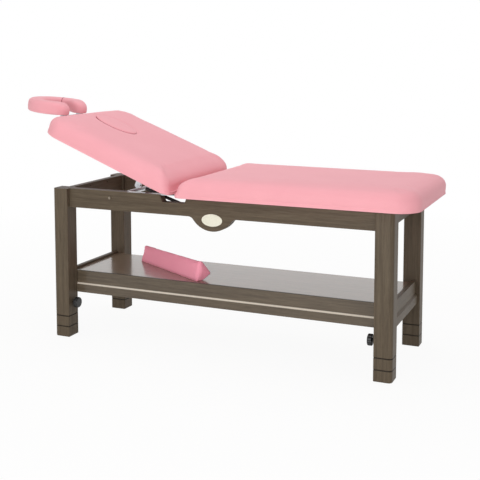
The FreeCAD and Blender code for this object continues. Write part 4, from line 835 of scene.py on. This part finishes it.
# %% Section of the face rest
RING_PLACE = 0.092
RING_OUTER = 0.149
RING_INNER = 0.068
RING_MEAN = (RING_OUTER + RING_INNER) / 2
RING_HALF = (RING_OUTER - RING_INNER) / 2
RING_LOW = 0.0123
RING_TOP = RING_LOW + 0.062
TOP_ROUND = 0.020
BASE_ROUND = 0.008
ROUND_STEPS = 6
SECTION_CROWN = 0.0015


def half_section():
    """Points of the section's outer half, from the middle of its base to the middle of its top."""
    points = [(0.0, RING_LOW), (RING_HALF * 0.5, RING_LOW)]
    angles = [math.pi / 2 * step / ROUND_STEPS for step in range(ROUND_STEPS + 1)]
    for angle in angles:
        points.append((
            RING_HALF - BASE_ROUND + BASE_ROUND * math.sin(angle),
            RING_LOW + BASE_ROUND - BASE_ROUND * math.cos(angle),
        ))
    points.append((RING_HALF + SECTION_CROWN, (RING_LOW + RING_TOP) / 2))
    for angle in angles:
        points.append((
            RING_HALF - TOP_ROUND + TOP_ROUND * math.cos(angle),
            RING_TOP - TOP_ROUND + TOP_ROUND * math.sin(angle),
        ))
    points.append((0.0, RING_TOP + SECTION_CROWN))
    return points


def section_piece(name, points, angle):
    """A chain of edges in an upright plane, at an angle about the ring's middle."""
    mesh = bpy.data.meshes.new(name)
    spots = []
    for reach, height in points:
        radius = RING_MEAN + reach
        spots.append((-RING_PLACE + radius * math.cos(angle), radius * math.sin(angle), height))
    mesh.from_pydata(spots, [(index, index + 1) for index in range(len(spots) - 1)], [])
    piece = bpy.data.objects.new(name, mesh)
    bpy.context.collection.objects.link(piece)
    return piece


def spin_piece(piece, centre, angle, steps):
    """Spins a chain of edges round an upright line, clockwise for a positive angle."""
    deselect_all_but(piece)
    bpy.ops.object.mode_set(mode="EDIT")
    bpy.ops.mesh.select_all(action="SELECT")
    bpy.ops.mesh.spin(steps=steps, angle=angle, center=centre, axis=(0.0, 0.0, 1.0))
    bpy.ops.object.mode_set(mode="OBJECT")


outer_half = half_section()
inner_half = [(-reach, height) for reach, height in reversed(outer_half[1:-1])]
whole_section = outer_half + inner_half + [outer_half[0]]
print("The face rest's section has", len(whole_section) - 1, "points")

# %% Horseshoe of the face rest
HALF_OPENING = math.radians(47)
RING_STEPS = 90
TIP_STEPS = 24
RING_CENTRE = (-RING_PLACE, 0.0, 0.0)
ring = section_piece("face_cushion", whole_section, -HALF_OPENING)
spin_piece(ring, RING_CENTRE, 2 * math.pi - 2 * HALF_OPENING, RING_STEPS)
tips = []
for side in (-1, 1):
    tip = section_piece("face_tip", outer_half, side * HALF_OPENING)
    tip_x = -RING_PLACE + RING_MEAN * math.cos(HALF_OPENING)
    tip_y = side * RING_MEAN * math.sin(HALF_OPENING)
    spin_piece(tip, (tip_x, tip_y, 0.0), side * math.pi, TIP_STEPS)
    tips.append(tip)
deselect_all_but(ring)
for tip in tips:
    tip.select_set(True)
bpy.ops.object.join()
face_cushion = bpy.context.object
outward(face_cushion)
print("Horseshoe:", len(face_cushion.data.polygons), "faces before smoothing")

# %% Seam and falling tips of the face rest
SEAM_ANGLE = math.radians(110)
SEAM_HALF_WIDTH = (math.pi - HALF_OPENING) / RING_STEPS
SEAM_LOW = RING_LOW + 0.02
TIP_END = -RING_PLACE + RING_MEAN * math.cos(HALF_OPENING) + RING_HALF
TIP_FALL_LENGTH = 0.075
TIP_LEVEL = 0.45
RING_FORWARD = 0.006
FORK_REACH = BACK_REACH + 0.060
FORK_HEIGHT = 0.025
FACE_TILT = math.radians(6.0)


def ring_angle(point):
    """The direction of a point from the ring's middle, as seen from above."""
    return math.atan2(point.y, point.x + RING_PLACE)


face_cushion.data.materials.append(pink_cover)
face_cushion.data.materials.append(seam_and_shade_cover)
for face in face_cushion.data.polygons:
    on_seam = abs(ring_angle(face.center) - SEAM_ANGLE) < SEAM_HALF_WIDTH
    face.material_index = 1 if on_seam and face.center.z > SEAM_LOW else 0
for vertex in face_cushion.data.vertices:
    point = vertex.co
    # The arms' tops fall away towards the tips, in a quarter oval.
    along = min(max((point.x - TIP_END + TIP_FALL_LENGTH) / TIP_FALL_LENGTH, 0.0), 1.0)
    share = TIP_LEVEL + (1.0 - TIP_LEVEL) * math.sqrt(1.0 - along * along)
    point.z = RING_LOW + (point.z - RING_LOW) * share
run_modifier(face_cushion, "SUBSURF", levels=1, render_levels=1)
deselect_all_but(face_cushion)
bpy.ops.object.shade_smooth()
turn = Matrix.Rotation(TILT, 4, "Y")
fork_spot = PIN + turn @ Vector((RING_FORWARD - FORK_REACH, 0.0, FORK_HEIGHT))
settle(face_cushion, fork_spot, FACE_TILT)
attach(face_cushion, "face_rest")
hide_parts("face_rest_cushion")
print("Face rest cushion:", len(face_cushion.data.polygons), "faces")

# %% [markdown]
# The wedge is a loose triangular cushion that lies askew on the shelf. A box gets its narrow ridge
# and its raised back edge by moving its corners. A fine remesh and some smoothing soften its
# edges, and it is blown up as the pads are.

# %% Corners of the wedge cushion
WEDGE_LENGTH = 0.530
FAR_HEIGHT, NEAR_HEIGHT = 0.082, 0.096
BASE_WIDTH = 0.038
BACK_EDGE_REACH, BACK_EDGE_RISE = 0.090, 0.026
RIDGE_REACH, RIDGE_WIDTH = 0.026, 0.010
WEDGE_SLACK = 0.003
START_WIDTH = 0.080
UPRIGHT_WEDGE = 0.05
BEHIND = 0.03
wedge = box_piece(
    "wedge_pad", (WEDGE_SLACK, WEDGE_SLACK, 0.0), (WEDGE_LENGTH - WEDGE_SLACK, START_WIDTH, NEAR_HEIGHT)
)
for vertex in wedge.data.vertices:
    point = vertex.co
    height = FAR_HEIGHT if point.x < WEDGE_LENGTH / 2 else NEAR_HEIGHT
    front = point.y < START_WIDTH / 2
    if point.z > NEAR_HEIGHT / 2:
        point.z = height - WEDGE_SLACK
        point.y = RIDGE_REACH if front else RIDGE_REACH + RIDGE_WIDTH
    elif not front:
        point.y = BASE_WIDTH
pick(
    wedge, "EDGE",
    lambda ends: all(end.y > BEHIND for end in ends) and abs(ends[0].z - ends[1].z) > UPRIGHT_WEDGE,
)
bpy.ops.mesh.subdivide(number_cuts=1)
bpy.ops.object.mode_set(mode="OBJECT")
for vertex in wedge.data.vertices:
    point = vertex.co
    # Only the two new points lie between the base and the ridge.
    if 0.02 < point.z < 0.07:
        point.y = BACK_EDGE_REACH - WEDGE_SLACK
        point.z = BACK_EDGE_RISE
print("Wedge starts with", len(wedge.data.vertices), "points")

# %% Foam and cover of the wedge cushion
WEDGE_VOXEL = 0.004
WEDGE_CAP = 0.004
WEDGE_HELD = 0.003
WEDGE_TURN = math.radians(-31.0)
WEDGE_BEHIND_PIN = 0.405
WEDGE_ACROSS = 0.105
deselect_all_but(wedge)
bpy.ops.object.mode_set(mode="EDIT")
bpy.ops.mesh.select_all(action="SELECT")
bpy.ops.mesh.convex_hull()
bpy.ops.object.mode_set(mode="OBJECT")
run_modifier(wedge, "REMESH", mode="VOXEL", voxel_size=WEDGE_VOXEL)
run_modifier(wedge, "SMOOTH", factor=0.5, iterations=6)
blow_up(wedge, WEDGE_CAP, lambda point: point.z < WEDGE_HELD)
for vertex in wedge.data.vertices:
    vertex.co.z = max(vertex.co.z, 0.0)
deselect_all_but(wedge)
bpy.ops.object.shade_smooth()
# The wedge wears the painted-light copy of the leather.
wedge.data.materials.append(wedge_cover_painted_light)
wedge_spot = Vector((PIN.x - WEDGE_BEHIND_PIN, WEDGE_ACROSS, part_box("wedge_cushion")[0].z))
settle(wedge, wedge_spot, 0.0, WEDGE_TURN)
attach(wedge, "wedge")
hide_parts("wedge_cushion")
print("Wedge cushion:", len(wedge.data.polygons), "faces")

# %% End
print("Scene built")
